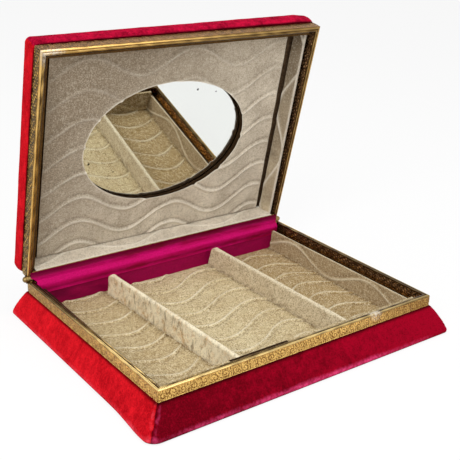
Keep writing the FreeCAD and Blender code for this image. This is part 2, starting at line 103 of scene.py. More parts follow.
def solid(name, loops, wrap=False, shut=False, sharp=38, **fields):
    """A closed mesh through a row of closed loops of points in millimetres.

    wrap joins the last loop to the first, or else both ends are capped. A shut piece is drawn with the lid
    shut and swung open. Fields are values at the points, for the materials.
    """
    loops = np.asarray(loops, float)
    rows, count = loops.shape[:2]
    index = np.arange(rows * count).reshape(rows, count)
    here = index if wrap else index[:-1]
    there = np.roll(index, -1, 0) if wrap else index[1:]
    faces = np.stack([here, np.roll(here, -1, 1), np.roll(there, -1, 1), there], -1).reshape(-1, 4).tolist()
    if not wrap:
        faces += [index[0][::-1].tolist(), index[-1].tolist()]
    mesh = bpy.data.meshes.new(name)
    mesh.from_pydata((loops.reshape(-1, 3) * MM).tolist(), [], faces)
    for key, values in fields.items():
        field = mesh.attributes.new(key, "FLOAT", "POINT")
        field.data.foreach_set("value", np.broadcast_to(values, (rows, count)).astype(np.float32).ravel())
    shell = bmesh.new()
    shell.from_mesh(mesh)
    inside_out = shell.calc_volume(signed=True) < 0
    shell.free()
    if inside_out:
        mesh.flip_normals()
    if shut:
        mesh.transform(LID_OPEN)
    mesh.shade_smooth()
    mesh.set_sharp_from_angle(angle=math.radians(sharp))
    thing = bpy.data.objects.new(name, mesh)
    bpy.context.scene.collection.objects.link(thing)
    return thing


def finish_piece(thing, material, body, slot, *nodes):
    """Gives a piece its material and body, and hides the nodes that it stands for; the slot is not used."""
    thing.data.materials.append(material)
    if body:
        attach(thing, body)
    if nodes:
        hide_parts(*nodes)
    return thing


def turned(points, side):
    """Points drawn for the front side, (along, outwards, up), set on a side of the box."""
    along, out, up = points[..., 0], points[..., 1], points[..., 2]
    plan = {"front": (along, -out), "right": (out, along), "rear": (-along, out), "left": (-out, -along)}
    return np.stack([*plan[side], up], -1)


def halves(side):
    """Half length of a side and its distance from the middle of the box."""
    return (HALF_X, HALF_Y) if side in ("front", "rear") else (HALF_Y, HALF_X)


# Materials
def linear(red, green, blue):
    """A colour given in display values from 0 to 255."""
    def one(value):
        value /= 255
        return value / 12.92 if value <= 0.04045 else ((value + 0.055) / 1.055) ** 2.4

    return one(red), one(green), one(blue), 1.0


class Look:
    """A node material with one principled shader."""

    def __init__(self, name, **sockets):
        self.material = bpy.data.materials.new(name)
        self.material.use_nodes = True
        self.tree = self.material.node_tree
        self.shader = self.tree.nodes["Principled BSDF"]
        for socket, value in sockets.items():
            self.shader.inputs[socket.replace("_", " ")].default_value = value
        self.place = self.node("ShaderNodeTexCoord").outputs["Object"]

    def node(self, kind, inputs=None, **settings):
        """Adds a node; an input is a value or another node's output."""
        made = self.tree.nodes.new(kind)
        for key, value in settings.items():
            setattr(made, key, value)
        for socket, value in (inputs or {}).items():
            self.feed(made.inputs[socket], value)
        return made

    def feed(self, socket, value):
        """Links an output to a socket, or sets the socket's value."""
        if isinstance(value, bpy.types.NodeSocket):
            self.tree.links.new(value, socket)
        else:
            socket.default_value = value

    def noise(self, grain, detail=2.0, roughness=0.5, stretch=None):
        """Noise with a grain in millimetres, from 0 to 1, maybe stretched along the axes."""
        place = self.place
        if stretch:
            place = self.node("ShaderNodeMapping", {"Vector": place, "Scale": stretch}).outputs[0]
        inputs = {"Vector": place, "Scale": 1 / (grain * MM), "Detail": detail, "Roughness": roughness}
        return self.node("ShaderNodeTexNoise", inputs).outputs["Fac"]

    def field(self, name):
        """A value stored at the mesh's points."""
        return self.node("ShaderNodeAttribute", attribute_name=name).outputs["Fac"]

    def ramp(self, value, low, high, bottom=0.0, top=1.0):
        """A value taken from low..high to bottom..top, held at the ends."""
        inputs = {"Value": value, 1: low, 2: high, 3: bottom, 4: top}
        return self.node("ShaderNodeMapRange", inputs).outputs[0]

    def math(self, operation, first, second=0.0):
        """One sum on values."""
        return self.node("ShaderNodeMath", {0: first, 1: second}, operation=operation).outputs[0]

    def mix(self, share, first, second, blend="MIX"):
        """A mix of two colours."""
        made = self.node("ShaderNodeMix", data_type="RGBA", blend_type=blend)
        for socket, value in ((0, share), (6, first), (7, second)):
            self.feed(made.inputs[socket], value)
        return made.outputs[2]

    def bump(self, height, distance, strength=1.0, normal=None):
        """A bump of a height in millimetres."""
        made = self.node("ShaderNodeBump", {"Height": height, "Distance": distance * MM, "Strength": strength})
        if normal:
            self.feed(made.inputs["Normal"], normal)
        return made.outputs[0]

    def set(self, **sockets):
        """Links outputs to the shader's sockets."""
        for socket, value in sockets.items():
            self.feed(self.shader.inputs[socket.replace("_", " ")], value)
        return self.material


def shaded(colour, share):
    """A colour darkened to a share of itself."""
    return tuple(share * value for value in colour[:3]) + (1.0,)


def velvet(name, deep, light, worn):
    """Short-pile velvet with crushed patches of two tones.

    At the points the field tone lightens it; the pale field is wear at the seams and a painted sheen along the foot
    and the lid's rounded edge; the dark field is painted shade under the band, in the seam dips and at the foot.
    """
    look = Look(name, Roughness=0.9, Specular_IOR_Level=0.03, Sheen_Weight=0.12, Sheen_Roughness=0.4)
    look.set(Sheen_Tint=light)
    patches = look.noise(15, detail=5, roughness=0.65)
    crush = look.noise(2.8, detail=4, roughness=0.7, stretch=(0.8, 0.8, 0.4))
    tone = look.math("MULTIPLY", look.math("ADD", patches, crush), 0.5)
    tone = look.math("ADD", tone, look.math("MULTIPLY", look.field("tone"), 0.2))
    colour = look.mix(look.ramp(tone, 0.38, 0.64), deep, light)
    pile = look.noise(1.1, detail=2)
    colour = look.mix(look.ramp(pile, 0.5, 0.75, 0.0, 0.5), colour, light)
    colour = look.mix(look.ramp(pile, 0.48, 0.25, 0.0, 0.6), colour, shaded(deep, 0.6))
    # pale wear at the seams and a painted sheen along the foot and the lid's rounded edge
    rub = look.math("MULTIPLY", look.field("rub"), look.ramp(look.noise(2.4, detail=3), 0.35, 0.62, 0.45, 1.0))
    colour = look.mix(look.ramp(rub, 0.1, 0.9, 0.0, 0.75), colour, worn)
    # painted shade under the band, in the seam dips and at the feet
    colour = look.mix(look.ramp(look.field("crease"), 0.0, 1.0), colour, shaded(deep, 0.12))
    rough = look.bump(crush, 0.6, 0.5)
    return look.set(Base_Color=colour, Normal=look.bump(pile, 0.3, 0.6, rough))


def plush(name, ground, shade, light, dark, speckled, stain=None):
    """Speckled plush, maybe rubbed and stained.

    At the points the field pile paints highlights on the ribs' crests and on edges, and painted shade on the ribs'
    sides and along feet and joins; tone darkens it towards the shade colour, in places as painted shade.
    """
    look = Look(name, Roughness=0.95, Specular_IOR_Level=0.04, Sheen_Weight=0.08, Sheen_Roughness=0.5)
    patches = look.noise(22, detail=4, roughness=0.6)
    colour = look.mix(look.ramp(patches, 0.36, 0.66, 0.0, 0.45), ground, shade)
    # darker by the field tone, which on the lid's panel and right lining is painted shade
    colour = look.mix(look.ramp(look.field("tone"), 0.0, 1.0), colour, shade)
    if stain:
        slant = {"Rotation": (math.radians(-34), 0, 0), "Scale": (1.0, 1.0, 0.38), "Vector": look.place}
        place = look.node("ShaderNodeMapping", slant).outputs[0]
        inputs = {"Vector": place, "Scale": 1 / (4.6 * MM), "Detail": 4.0, "Roughness": 0.6}
        streak = look.node("ShaderNodeTexNoise", inputs).outputs["Fac"]
        colour = look.mix(look.ramp(look.noise(8.0, detail=4, roughness=0.7), 0.5, 0.66, 0.0, 0.7), colour, stain)
        colour = look.mix(look.ramp(streak, 0.52, 0.66, 0.0, 0.8), colour, light)
        colour = look.mix(look.ramp(streak, 0.46, 0.32, 0.0, 0.65), colour, dark)
    clumps = look.noise(3.4, detail=4, roughness=0.7)
    broken = look.ramp(clumps, 0.3, 0.7, 0.6, 1.15)
    pile = look.math("MULTIPLY", look.field("pile"), broken)
    # painted highlights and painted shade from the field pile
    colour = look.mix(look.ramp(pile, 0.0, 1.0, 0.0, 0.6), colour, light)
    colour = look.mix(look.ramp(pile, 0.0, -1.0, 0.0, 0.6), colour, dark)
    speck = look.noise(1.05, detail=2, roughness=0.6)
    grain = look.math("ADD", look.math("MULTIPLY", speck, 0.7), look.math("MULTIPLY", clumps, 0.3))
    colour = look.mix(look.ramp(grain, 0.505, 0.61, 0.0, speckled), colour, dark)
    colour = look.mix(look.ramp(grain, 0.49, 0.38, 0.0, 0.75 * speckled), colour, light)
    colour = look.mix(look.ramp(pile, 0.35, 0.95, 0.0, 0.6), colour, light)
    return look.set(Base_Color=colour, Normal=look.bump(speck, 0.6, 0.5))


def gilt(name, metal, tarnish, roughness, relief=False, worn=()):
    """Gilt brass: tarnish in the hollows and in drifts, pale wear in spots and at the worn (point, radius)."""
    look = Look(name, Metallic=1.0)
    drift = look.noise(11, detail=4, roughness=0.65)
    share = look.ramp(drift, 0.5, 0.8, 0.0, 0.45)
    if relief:
        # on the lips and along the bands the field relief also carries painted reflections: dark where the metal
        # reflected dark surroundings
        share = look.math("MAXIMUM", share, look.ramp(look.field("relief"), 0.75, 0.0, 0.0, 1.0))
    colour = look.mix(share, metal, tarnish)
    spots = look.noise(2.2, detail=3)
    bare = look.ramp(spots, 0.7, 0.78, 0.0, 0.4)
    for point, radius in worn:
        centre = [value * MM for value in point]
        inputs = {0: look.place, 1: centre}
        away = look.node("ShaderNodeVectorMath", inputs, operation="DISTANCE").outputs["Value"]
        near = look.ramp(away, radius * MM, 0.4 * radius * MM)
        near = look.math("MULTIPLY", near, look.ramp(spots, 0.3, 0.6, 0.0, 0.9))
        bare = look.math("MAXIMUM", bare, near)
    colour = look.mix(bare, colour, WORN_METAL)
    wave = look.bump(look.noise(14, detail=1), 0.3, 0.25)
    fine = look.bump(look.noise(0.7, detail=2), 0.03, 0.4, wave)
    gloss = look.ramp(look.noise(4, detail=3), 0.3, 0.7, roughness, roughness + 0.14)
    gloss = look.math("ADD", gloss, look.math("MULTIPLY", bare, 0.3))
    return look.set(Base_Color=colour, Roughness=gloss, Normal=fine)


def satin(name, base, light):
    """Ribbed satin with a painted streaked sheen; the painted shade field darkens it and tone lightens it as painted
    light.
    """
    look = Look(name, Roughness=0.55, Specular_IOR_Level=0.06, Sheen_Weight=0.06, Sheen_Roughness=0.3)
    look.set(Sheen_Tint=light)
    streak = look.noise(6, detail=3, stretch=(0.25, 1.0, 1.0))
    weave = look.noise(0.5, detail=1, stretch=(0.3, 1.0, 1.0))
    # painted streaked sheen
    colour = look.mix(look.ramp(streak, 0.35, 0.65), base, light)
    # painted light from the field tone
    colour = look.mix(look.ramp(look.field("tone"), 0.0, 1.0), colour, light)
    colour = look.mix(look.ramp(weave, 0.4, 0.7, 0.0, 0.4), colour, base)
    # painted shade from its field
    colour = look.mix(look.ramp(look.field("crease"), 0.0, 1.0), colour, shaded(base, 0.2))
    return look.set(Base_Color=colour, Normal=look.bump(weave, 0.12, 0.4, look.bump(streak, 0.6, 0.3)))


def silvered(name, front, back, specks):
    """Clear glass silvered on its back, with a few bare specks given as points and radii."""
    look = Look(name, Roughness=0.0, IOR=1.5)
    way = (back - front).normalized()
    depth = look.node("ShaderNodeVectorMath", {0: look.place, 1: way}, operation="DOT_PRODUCT").outputs["Value"]
    silver = look.math("GREATER_THAN", depth, way.dot(front + back) / 2)
    share = 0.0
    wobble = look.math("MULTIPLY", look.noise(1.5, detail=2), 0.9 * MM)
    for place, radius in specks:
        away = look.node("ShaderNodeVectorMath", {0: look.place, 1: place}, operation="DISTANCE").outputs["Value"]
        spot = look.ramp(look.math("ADD", away, wobble), radius * MM * 1.25, radius * MM * 0.75)
        share = look.math("MAXIMUM", spot, share)
    bright = look.mix(share, (0.86, 0.87, 0.85, 1.0), (0.02, 0.02, 0.02, 1.0))
    colour = look.mix(silver, (0.99, 1.0, 0.99, 1.0), bright)
    clear = look.math("SUBTRACT", 1.0, silver)
    return look.set(Base_Color=colour, Metallic=silver, Transmission_Weight=clear)


def plain(name, base, dark, grain, roughness):
    """Board, card or felt with a grain."""
    look = Look(name, Roughness=roughness, Specular_IOR_Level=0.06)
    grains = look.noise(grain, detail=4, roughness=0.6)
    colour = look.mix(look.ramp(grains, 0.3, 0.7), dark, base)
    return look.set(Base_Color=colour, Normal=look.bump(grains, 0.2, 0.4))


WORN_METAL = linear(220, 208, 190)
# Copies of one velvet tinted for how the light falls, as painted light and shade: lit on the left and right sides,
# shaded on the front, rear and top, and a third tint for the lid's front, rear and rounded edges
VELVET_LIT_SIDES = velvet("velvet_lit_sides", linear(160, 6, 18), linear(218, 24, 36), linear(236, 76, 92))
VELVET_SHADED_FACES = velvet("velvet_shaded_faces", linear(96, 0, 14), linear(146, 2, 30), linear(226, 70, 124))
VELVET_LID = velvet("velvet_lid_edge", linear(112, 0, 26), linear(198, 16, 58), linear(214, 70, 98))
PALE, DARK = linear(236, 227, 200), linear(100, 78, 48)
PLUSH = plush("beige_plush", linear(206, 189, 148), linear(165, 139, 93), PALE, DARK, 0.75)
LINING_PLUSH = plush("lining_plush", linear(182, 160, 124), linear(150, 128, 96), PALE, DARK, 0.5)
STAIN = linear(198, 152, 88)
DIVIDER_PLUSH = plush("divider_plush", linear(244, 232, 200), linear(198, 179, 146), PALE, DARK, 0.42, STAIN)
DIVIDER_GREY = plush("divider_grey_plush", linear(214, 199, 168), linear(178, 160, 128), PALE, DARK, 0.6)
LID_PALE, LID_DARK = linear(228, 220, 204), linear(92, 78, 62)
LID_PLUSH = plush("lid_plush", linear(215, 203, 183), linear(143, 128, 108), LID_PALE, LID_DARK, 0.38)
# a darker copy of the lid plush for the lid's right lining: painted shade
LID_SHADED_PLUSH = plush("lid_plush_shaded", linear(208, 191, 161), linear(96, 82, 64), LID_PALE, LID_DARK, 0.26)
FRONT_WEAR = ((71.5, -99.0, 32.6), 7.5)
LID_WEAR = (tuple(LID_OPEN @ Vector((-0.127, -0.098, 0.033)) / MM), 13.0)
BRASS = gilt("gilt_strip", linear(150, 118, 64), linear(76, 52, 24), 0.2)
LIP_BRASS = gilt("gilt_lip", linear(244, 212, 142), linear(58, 36, 12), 0.1, True, [FRONT_WEAR])
LID_LIP_BRASS = gilt("gilt_lid_lip", linear(232, 190, 114), linear(66, 42, 18), 0.12, True, [LID_WEAR])
# The front band's relief, and on the next two lines darker copies for the bands that reflected dark surroundings:
# painted reflection
EMBOSSED = gilt("gilt_relief", linear(250, 206, 120), linear(112, 68, 20), 0.26, True, [FRONT_WEAR])
EMBOSSED_DARK_REFLECTION = gilt("relief_dark_reflection", linear(222, 172, 112), linear(70, 45, 22), 0.3, True)
FLECKED = gilt("flecked_relief", linear(232, 184, 92), linear(44, 29, 11), 0.28, True)
INSIDE_BRASS = gilt("brass_inside", linear(236, 192, 142), linear(64, 38, 19), 0.4, True)
HINGE_BRASS = gilt("dull_brass", linear(140, 117, 74), linear(64, 50, 29), 0.35)
RIBBON = satin("magenta_satin", linear(134, 0, 40), linear(199, 7, 104))
PLUM = satin("plum_satin", linear(92, 2, 42), linear(146, 6, 66))
# Cut and bare card edges: brown card, darkened as painted shade in the gaps under the lips and in the opening's wall
CUT_EDGE_SHADED = plain("cut_card_edge_painted_shade", linear(60, 42, 22), linear(30, 20, 10), 1.2, 0.85)
# dark card on the lid's spacer and walls: painted shade in the gaps round the panel
SHADE_CARD = plain("card_in_painted_shade", linear(94, 75, 55), linear(54, 40, 28), 2.0, 0.9)
BARE_EDGE_SHADED = plain("bare_card_edge_painted_shade", linear(104, 74, 36), linear(60, 40, 18), 1.6, 0.8)
BOARD = plain("grey_board", linear(150, 130, 104), linear(120, 100, 78), 3.0, 0.9)
FELT = plain("bottom_felt", linear(78, 14, 22), linear(46, 6, 12), 1.0, 0.95)


# Velvet of the tray
PROUD = 0.4  # of the band, where the velvet starts
ROLL_WIDTH, ROLL_DROP, ROLL_BULGE = 1.9, 1.35, 0.2
FLARE, SIDE_BULGE = 11.9, 0.6
FOOT_HEIGHT, FOOT_TUCK, FOOT_BULGE = 3.7, 0.6, 0.5
WALL_FLARE, WALL_TUCK = 7.8, 1.8  # the board behind, at the foot and under the band
CORNER_TOP, CORNER_FOOT = 1.0, 2.8  # plan radius of the corners under the band and at the foot
NEAR_CORNER = 8.0  # and at the foot of the front left one
SEAM_DIP, SEAM_WIDTH = 0.6, 0.9
FRONT_SPREAD = (1.4, 2.9)  # how much further the front's foot stands out at its left and at its right end
LEFT_SPREAD = (0.0, -1.6)  # and the left side's, at the front and at the rear
NEAR_SPREAD, NEAR_RUN = 2.9, 24.0  # what its front corner adds, and over what length
STRAIGHT = 0.94  # share of a side's steps on its straight run


def arc(start, end, bulge, count):
    """Points after the start on an arc to the end, bulging to the left of the way."""
    start, end = np.array(start), np.array(end)
    share = np.linspace(0, 1, count + 1)[1:, None]
    way = end - start
    length = np.hypot(*way)
    half = 2 * math.atan(2 * bulge / length)
    radius = length / 2 / math.sin(half)
    turn = half * (2 * share - 1)
    left = np.array([-way[1], way[0]]) / length
    rise = radius * (np.cos(turn) - math.cos(half))
    return start + way * (0.5 + np.sin(turn) / (2 * math.sin(half))) + left * rise


def velvet_section(low, high):
    """Outward offsets and heights of a padded flaring side as a closed loop, and how soft it is there."""
    edge, roll = (PROUD, high), (PROUD + ROLL_WIDTH, high - ROLL_DROP)
    hem, tuck = (FLARE, low + FOOT_HEIGHT), (FLARE - FOOT_TUCK, low)
    parts = [[edge], arc(edge, roll, ROLL_BULGE, 5), arc(roll, hem, SIDE_BULGE, 26), arc(hem, tuck, FOOT_BULGE, 9)]
    face = np.concatenate(parts)
    section = np.concatenate([face, [(WALL_FLARE, low), (-WALL_TUCK, high)]])
    soft = np.concatenate([np.clip(np.arange(len(face)) / 4, 0, 1) * np.clip((face[:, 1] - low) / 2.5, 0, 1), [0, 0]])
    return section[:, 0], section[:, 1], soft


def spread(points):
    """The padding's uneven stand at the foot of the front and of the left side."""
    x, y, z = points[..., 0], points[..., 1], points[..., 2]
    front = np.interp(x, (-HALF_X, HALF_X), FRONT_SPREAD) * np.clip((-y - HALF_Y) / FLARE, 0, 1)
    left = np.interp(y, (-HALF_Y, HALF_Y), LEFT_SPREAD) + NEAR_SPREAD * bell(np.maximum(y + HALF_Y, 0), NEAR_RUN)
    left = left * np.clip((-x - HALF_X) / FLARE, 0, 1)
    return np.stack([x - left, y - front, z], -1)


def velvet_side(side, seed):
    """One padded side of the tray, with rounded corners and a dip at the corner seams."""
    node = f"base_velvet_{side}"
    low, high = reach(node)
    half, out = halves(side)
    offsets, heights, soft = velvet_section(low[2], high[2])
    steps = np.concatenate(
        [np.linspace(-1, -STRAIGHT, 13), np.linspace(-STRAIGHT, STRAIGHT, 180)[1:-1], np.linspace(STRAIGHT, 1, 13)]
    )
    step, sign = np.abs(steps)[:, None], np.sign(steps)[:, None]
    near_end = {"front": -1, "left": 1}.get(side, 0)
    foot_radius = np.where(sign == near_end, NEAR_CORNER, CORNER_FOOT)
    corner = CORNER_TOP + (foot_radius - CORNER_TOP) * np.clip(offsets / FLARE, 0, 1)
    run = half + offsets - corner
    turn = math.pi / 4 * np.clip((step - STRAIGHT) / (1 - STRAIGHT), 0, 1)
    along = sign * (run * np.clip(step / STRAIGHT, 0, 1) + corner * np.sin(turn))
    outwards = out + offsets - corner * (1 - np.cos(turn))
    up = np.broadcast_to(heights, along.shape)
    from_seam = run + corner * math.sqrt(0.5) - np.abs(along)
    ragged = from_seam + 0.7 * lumps(up + 40 * sign, up * 0.3, 5, seed + 50)
    seam = bell(ragged, SEAM_WIDTH)
    puff = 0.3 * lumps(along, up, 24, seed) + 0.1 * lumps(along, up, 5, seed + 20) - SEAM_DIP * seam
    outwards = outwards + puff * soft
    fade = np.interp(along / half, (-1, -0.3, 0.4, 1), (0.4, 0.9, 0.75, 0.2)) if side == "front" else 0.5
    # painted sheen along the padded foot, where it catches the light, fading towards the ends of the front
    foot = bell(up - low[2] - 2.4, 2.3) * (offsets > 0) * (fade + 0.3 * lumps(along, up, 30, seed + 60))
    broken = np.clip(0.55 + 0.5 * lumps(up, up, 7, seed + 70), 0.1, 1)
    rub = np.clip(0.5 * (1.1 - broken) * bell(ragged - 1.5, 1.0) + foot, 0, 1) * (soft > 0)
    # painted shade under the band, in the seam dips and along the foot
    crease = 0.85 * bell(high[2] - up, 1.0) + 0.8 * broken * bell(ragged, 0.5) * (offsets > 0)
    crease = crease + 0.6 * bell(up - low[2], 0.9) * (offsets > WALL_FLARE)
    tone = 0.1 + 0.9 * along / half if side == "front" else 0.05 - 0.35 * along / half
    points = spread(turned(np.stack([along, outwards, up], -1), side))
    thing = solid(f"tray_velvet_{side}", points, rub=rub, crease=np.clip(crease, 0, 1), tone=tone)
    # the left and right sides take the lit copy, the front and rear the shaded one: painted light and shade
    material = VELVET_LIT_SIDES if side in ("left", "right") else VELVET_SHADED_FACES
    finish_piece(thing, material, "base", "red_velvet", node)


for number, side in enumerate(SIDES):
    velvet_side(side, 10 + number)


# Velvet of the lid
LID_EDGE_ROUND = 3.8
LID_CORNER = 4.2
LID_CROWN = 0.7
TOP_FRONT, TOP_REAR = 2.2, 0.9  # thickness over the board at the lid's front and at its hinge side
LID_SPREAD = (0.3, 2.3, 0.4)  # how much further the front side stands out, from left to right
LID_ROUND = 15.0  # length over which it falls back at the right


def lid_velvet():
    """The lid's cover: four sides, a rounded edge and a slightly crowned top, in one piece."""
    high = reach("lid_velvet_top", shut=True)[1]
    foot = reach("lid_velvet_front", shut=True)[0][2]
    board = reach("lid_top_board", shut=True)[1][2]
    flare, top = high[0] - HALF_X, board + TOP_FRONT
    turn = np.linspace(0, math.pi / 2, 9)
    inset = np.array([7, 12, 20, 32, 48, 66, 84, 95.0])
    rise = np.linspace(0, 1, 9)
    side_out = 0.9 + (flare - 0.9) * rise + 0.6 * np.sin(math.pi * rise)
    side_up = foot + (top - LID_EDGE_ROUND - foot) * rise
    edge_out = flare - LID_EDGE_ROUND * (1 - np.cos(turn[1:]))
    edge_up = top - LID_EDGE_ROUND * (1 - np.sin(turn[1:]))
    top_up = top + LID_CROWN * (1 - (1 - inset / 100) ** 2)
    offsets = np.concatenate([[-95, -40, -0.6, -0.6], side_out, edge_out, flare - inset])
    heights = np.concatenate([[board + 0.1, board + 0.1, board + 0.1, foot], side_up, edge_up, top_up])
    outside = np.concatenate([np.zeros(4), np.ones(len(offsets) - 4)])
    level = np.concatenate([np.zeros(4), rise * 0.6, 0.6 + 0.4 * np.sin(turn[1:]), np.ones(len(inset))])
    corner = np.clip(LID_CORNER + offsets, 0.4, LID_CORNER)
    rings = []
    for side in SIDES:
        half, out = halves(side)
        ends = np.linspace(STRAIGHT, 1, 6)[1:-1]
        steps = np.concatenate([[-1], -ends[::-1], np.linspace(-STRAIGHT, STRAIGHT, 110), ends])
        step, sign = np.abs(steps)[:, None], np.sign(steps)[:, None]
        angle = math.pi / 4 * np.clip((step - STRAIGHT) / (1 - STRAIGHT), 0, 1)
        along = sign * ((half + offsets - corner) * np.clip(step / STRAIGHT, 0, 1) + corner * np.sin(angle))
        outwards = out + offsets - corner * (1 - np.cos(angle))
        up = np.broadcast_to(heights, along.shape)
        rings.append(turned(np.stack([along, outwards, up], -1), side))
    points = np.concatenate(rings).transpose(1, 0, 2)
    x, y, z = points[..., 0], points[..., 1], points[..., 2]
    swell = (0.28 * lumps(x + z, y + 0.7 * z, 26, 31) + 0.1 * lumps(x - z, y + z, 6, 32)) * outside[:, None]
    slope = (TOP_REAR - TOP_FRONT) * (y + HALF_Y) / (2 * HALF_Y)
    front = np.interp(x, (-HALF_X, HALF_X - LID_ROUND, HALF_X + flare), LID_SPREAD)
    front = front * np.clip((-y - HALF_Y) / flare, 0, 1) * outside[:, None]
    # painted sheen along the lid's rounded edge
    rub = bell(np.arange(len(offsets)) - 4 - len(rise) - 3, 2.5)[:, None] * 0.55
    points[..., 2] += (swell + slope * outside[:, None]) * level[:, None]
    grow = 1 + swell * (1 - level[:, None]) / 120
    points[..., 0] *= grow
    points[..., 1] = points[..., 1] * grow - front
    # painted shade where the cover meets the band
    crease = 0.8 * bell(heights - foot, 0.8)[:, None]
    thing = solid("lid_velvet_cover", points, shut=True, rub=rub, crease=crease)
    nodes = [f"lid_velvet_{side}" for side in SIDES] + ["lid_velvet_top"]
    finish_piece(thing, VELVET_SHADED_FACES, "lid", "red_velvet", *nodes)
    # faces are sorted by direction into the shaded, lit and lid-edge copies: painted light and shade
    thing.data.materials.append(VELVET_LIT_SIDES)
    thing.data.materials.append(VELVET_LID)
    lid_back = LID_OPEN.to_3x3() @ Vector((0, 0, 1))
    for face in thing.data.polygons:
        if abs(face.normal.x) > 0.75:
            face.material_index = 1
        elif abs(face.normal @ lid_back) < 0.8:
            face.material_index = 2


lid_velvet()

# Plush with raised wavy ribs
RIB_WIDTH, RIB_HEIGHT = 1.6, 1.0
WAVE_LENGTH, WAVE_HEIGHT = 96.5, 10.0  # of one wave, and from its middle to its crest
FLOOR_ROW, FLOOR_FIRST = 24.15, 98.7  # spacing of the rows on the floor and the middle of the rear one
PANEL_ROW, PANEL_FIRST, PANEL_SPREAD = 22.0, 97.5, 0.35
DIVIDER_HALF = 2.1  # half the thickness of a divider
LINING_COVER = 3.0  # of the floor's right edge by the lining's foot


def wave(x, trough):
    """Height of a rib's wave over its middle, with a trough at a place."""
    return -WAVE_HEIGHT * np.cos(2 * math.pi * (x - trough) / WAVE_LENGTH)


def ribs(across, width=1.0):
    """Rise and colour field of a rib, across in millimetres from its crest: a painted highlight on top, painted shade
    in front.
    """
    rise = RIB_HEIGHT * bell(across, RIB_WIDTH) - 0.4 * bell(across + 3.2, 2.0)
    pile = 0.85 * bell(across, 1.4 * width) - 0.7 * bell(across + 2.8 * width, 1.5 * width)
    return rise, pile


def to_nearest(position, spacing):
    """Signed distance to the nearest of rows at whole multiples of a spacing."""
    return position - spacing * np.round(position / spacing)


DIVIDER_TURNS = {"divider_left": 2.2, "divider_right": 0.9}  # out of square, in degrees
DIVIDER_LOOKS = {"divider_left": DIVIDER_PLUSH, "divider_right": DIVIDER_GREY}
DIVIDER_RAKES = {"divider_left": 2.0, "divider_right": 6.0}  # of the rear end, over the height
REAR_GAPS = {"divider_left": 5.0, "divider_right": 0.3}  # from the rear end to the satin lining


def foot_line(name, y):
    """Middle of a divider, from left to right, at places along it."""
    low, high = reach(name)
    return high[0] - DIVIDER_HALF - (y - low[1]) * math.tan(math.radians(DIVIDER_TURNS[name]))


def floor_plush():
    """The floor's plush; it runs up and over the dividers, so its wave starts anew behind each."""
    low, high = reach("base_floor_pad")
    y, x = np.meshgrid(np.linspace(low[1], high[1], 330), np.linspace(low[0], high[0], 230), indexing="ij")
    left, right = (foot_line(name, y) for name in DIVIDER_TURNS)
    trough = np.where(x < left, -86.0, np.where(x < right, -18.5, 91.5 - WAVE_LENGTH / 2))
    across = to_nearest(y - wave(x, trough) - FLOOR_FIRST + 1.5 * lumps(x, y, 60, 41), FLOOR_ROW)
    rise, pile = ribs(across)
    pile = pile * np.clip(0.85 + 0.3 * lumps(x, y, 40, 43), 0.4, 1)
    lining = reach("base_lining_right")[0][0]
    # painted shadow on the floor along the left of each divider's foot and of the right lining's foot
    for foot, strength in ((left - DIVIDER_HALF, 0.6), (right - DIVIDER_HALF, 0.6), (lining, 1.2)):
        pile = pile - strength * bell(np.minimum(x - foot, 0), 2.6) * (x < foot + DIVIDER_HALF)
    tone = np.where(x > right, 1.0, np.where(x < left, 0.45, 0.0))
    z = high[2] + rise + 0.35 * lumps(x, y, 17, 42)
    top = np.stack([x, y, z], -1)
    under = np.stack([top[:, -1], top[:, 0]], 1)
    under[..., 2] = low[2]
    loops = np.concatenate([top, under], 1)
    pile = np.concatenate([pile, np.zeros((len(pile), 2))], 1)
    tone = np.concatenate([tone, np.zeros((len(tone), 2))], 1)
    thing = solid("floor_plush", loops, pile=pile, tone=tone)
    finish_piece(thing, PLUSH, "base", "beige_plush", "base_floor_pad")


floor_plush()


def lining_strip(name, node, edges, run, curve, side, body, looks, seed, tone=0.0, bare=None, ribbed=0.5, dim=0.0):
    """A plush-covered card along a side of the tray or the lid, with a rib along a curve.

    edges are its two long edges as (inner distance, outer distance, height), each a value or its values along
    the run; the first is near the opening in the lid and near the floor in the tray. bare gives the edge that
    shows cut card, darkened as painted shade, 0 or 1, from where to where along the run, and its material.
    ribbed is the rib's strength, and dim darkens the pile as painted shade.
    """
    along = np.linspace(run[0], run[1], 190)
    first, last = (np.array([np.broadcast_to(value, along.shape) for value in edge]) for edge in edges)
    a, u = np.meshgrid(along, np.linspace(0, 1, 26), indexing="ij")
    inner, _, z = first[..., None] * (1 - u) + last[..., None] * u
    rise, pile = ribs(curve(a) - z) if curve else (np.zeros_like(a), np.zeros_like(a))
    inner = inner - 0.6 * rise - 0.3 * lumps(a, z, 15, seed) * np.sin(math.pi * u)
    pile = pile * np.clip(ribbed + 0.3 * lumps(a, z, 40, seed + 3), 0.15, 1) - dim
    face = np.stack([a, inner, z], -1)
    back = np.stack([np.stack([along, edge[1], edge[2]], -1) for edge in (last, first)], 1)
    loops = turned(np.concatenate([face, back], 1), side)
    # painted highlights along a lid lining's open edge and on the top edges, except the front linings'
    pile = np.maximum(pile, 0.9 * bell(u, 0.1) if body == "lid" else pile)
    pile = np.concatenate([pile, np.full((len(along), 2), 0.0 if side == "front" else 0.8)], 1)
    material, slot = looks
    thing = solid(name, loops, shut=body == "lid", pile=pile, tone=tone)
    finish_piece(thing, material, body, slot, node)
    if bare:
        thing.data.materials.append(bare[3])
        count = loops.shape[1]
        strip = count - 1 if bare[0] == 0 else count - 3
        for index, polygon in enumerate(thing.data.polygons[: count * (len(along) - 1)]):
            if index % count == strip and bare[1] < along[index // count] < bare[2]:
                polygon.material_index = 1


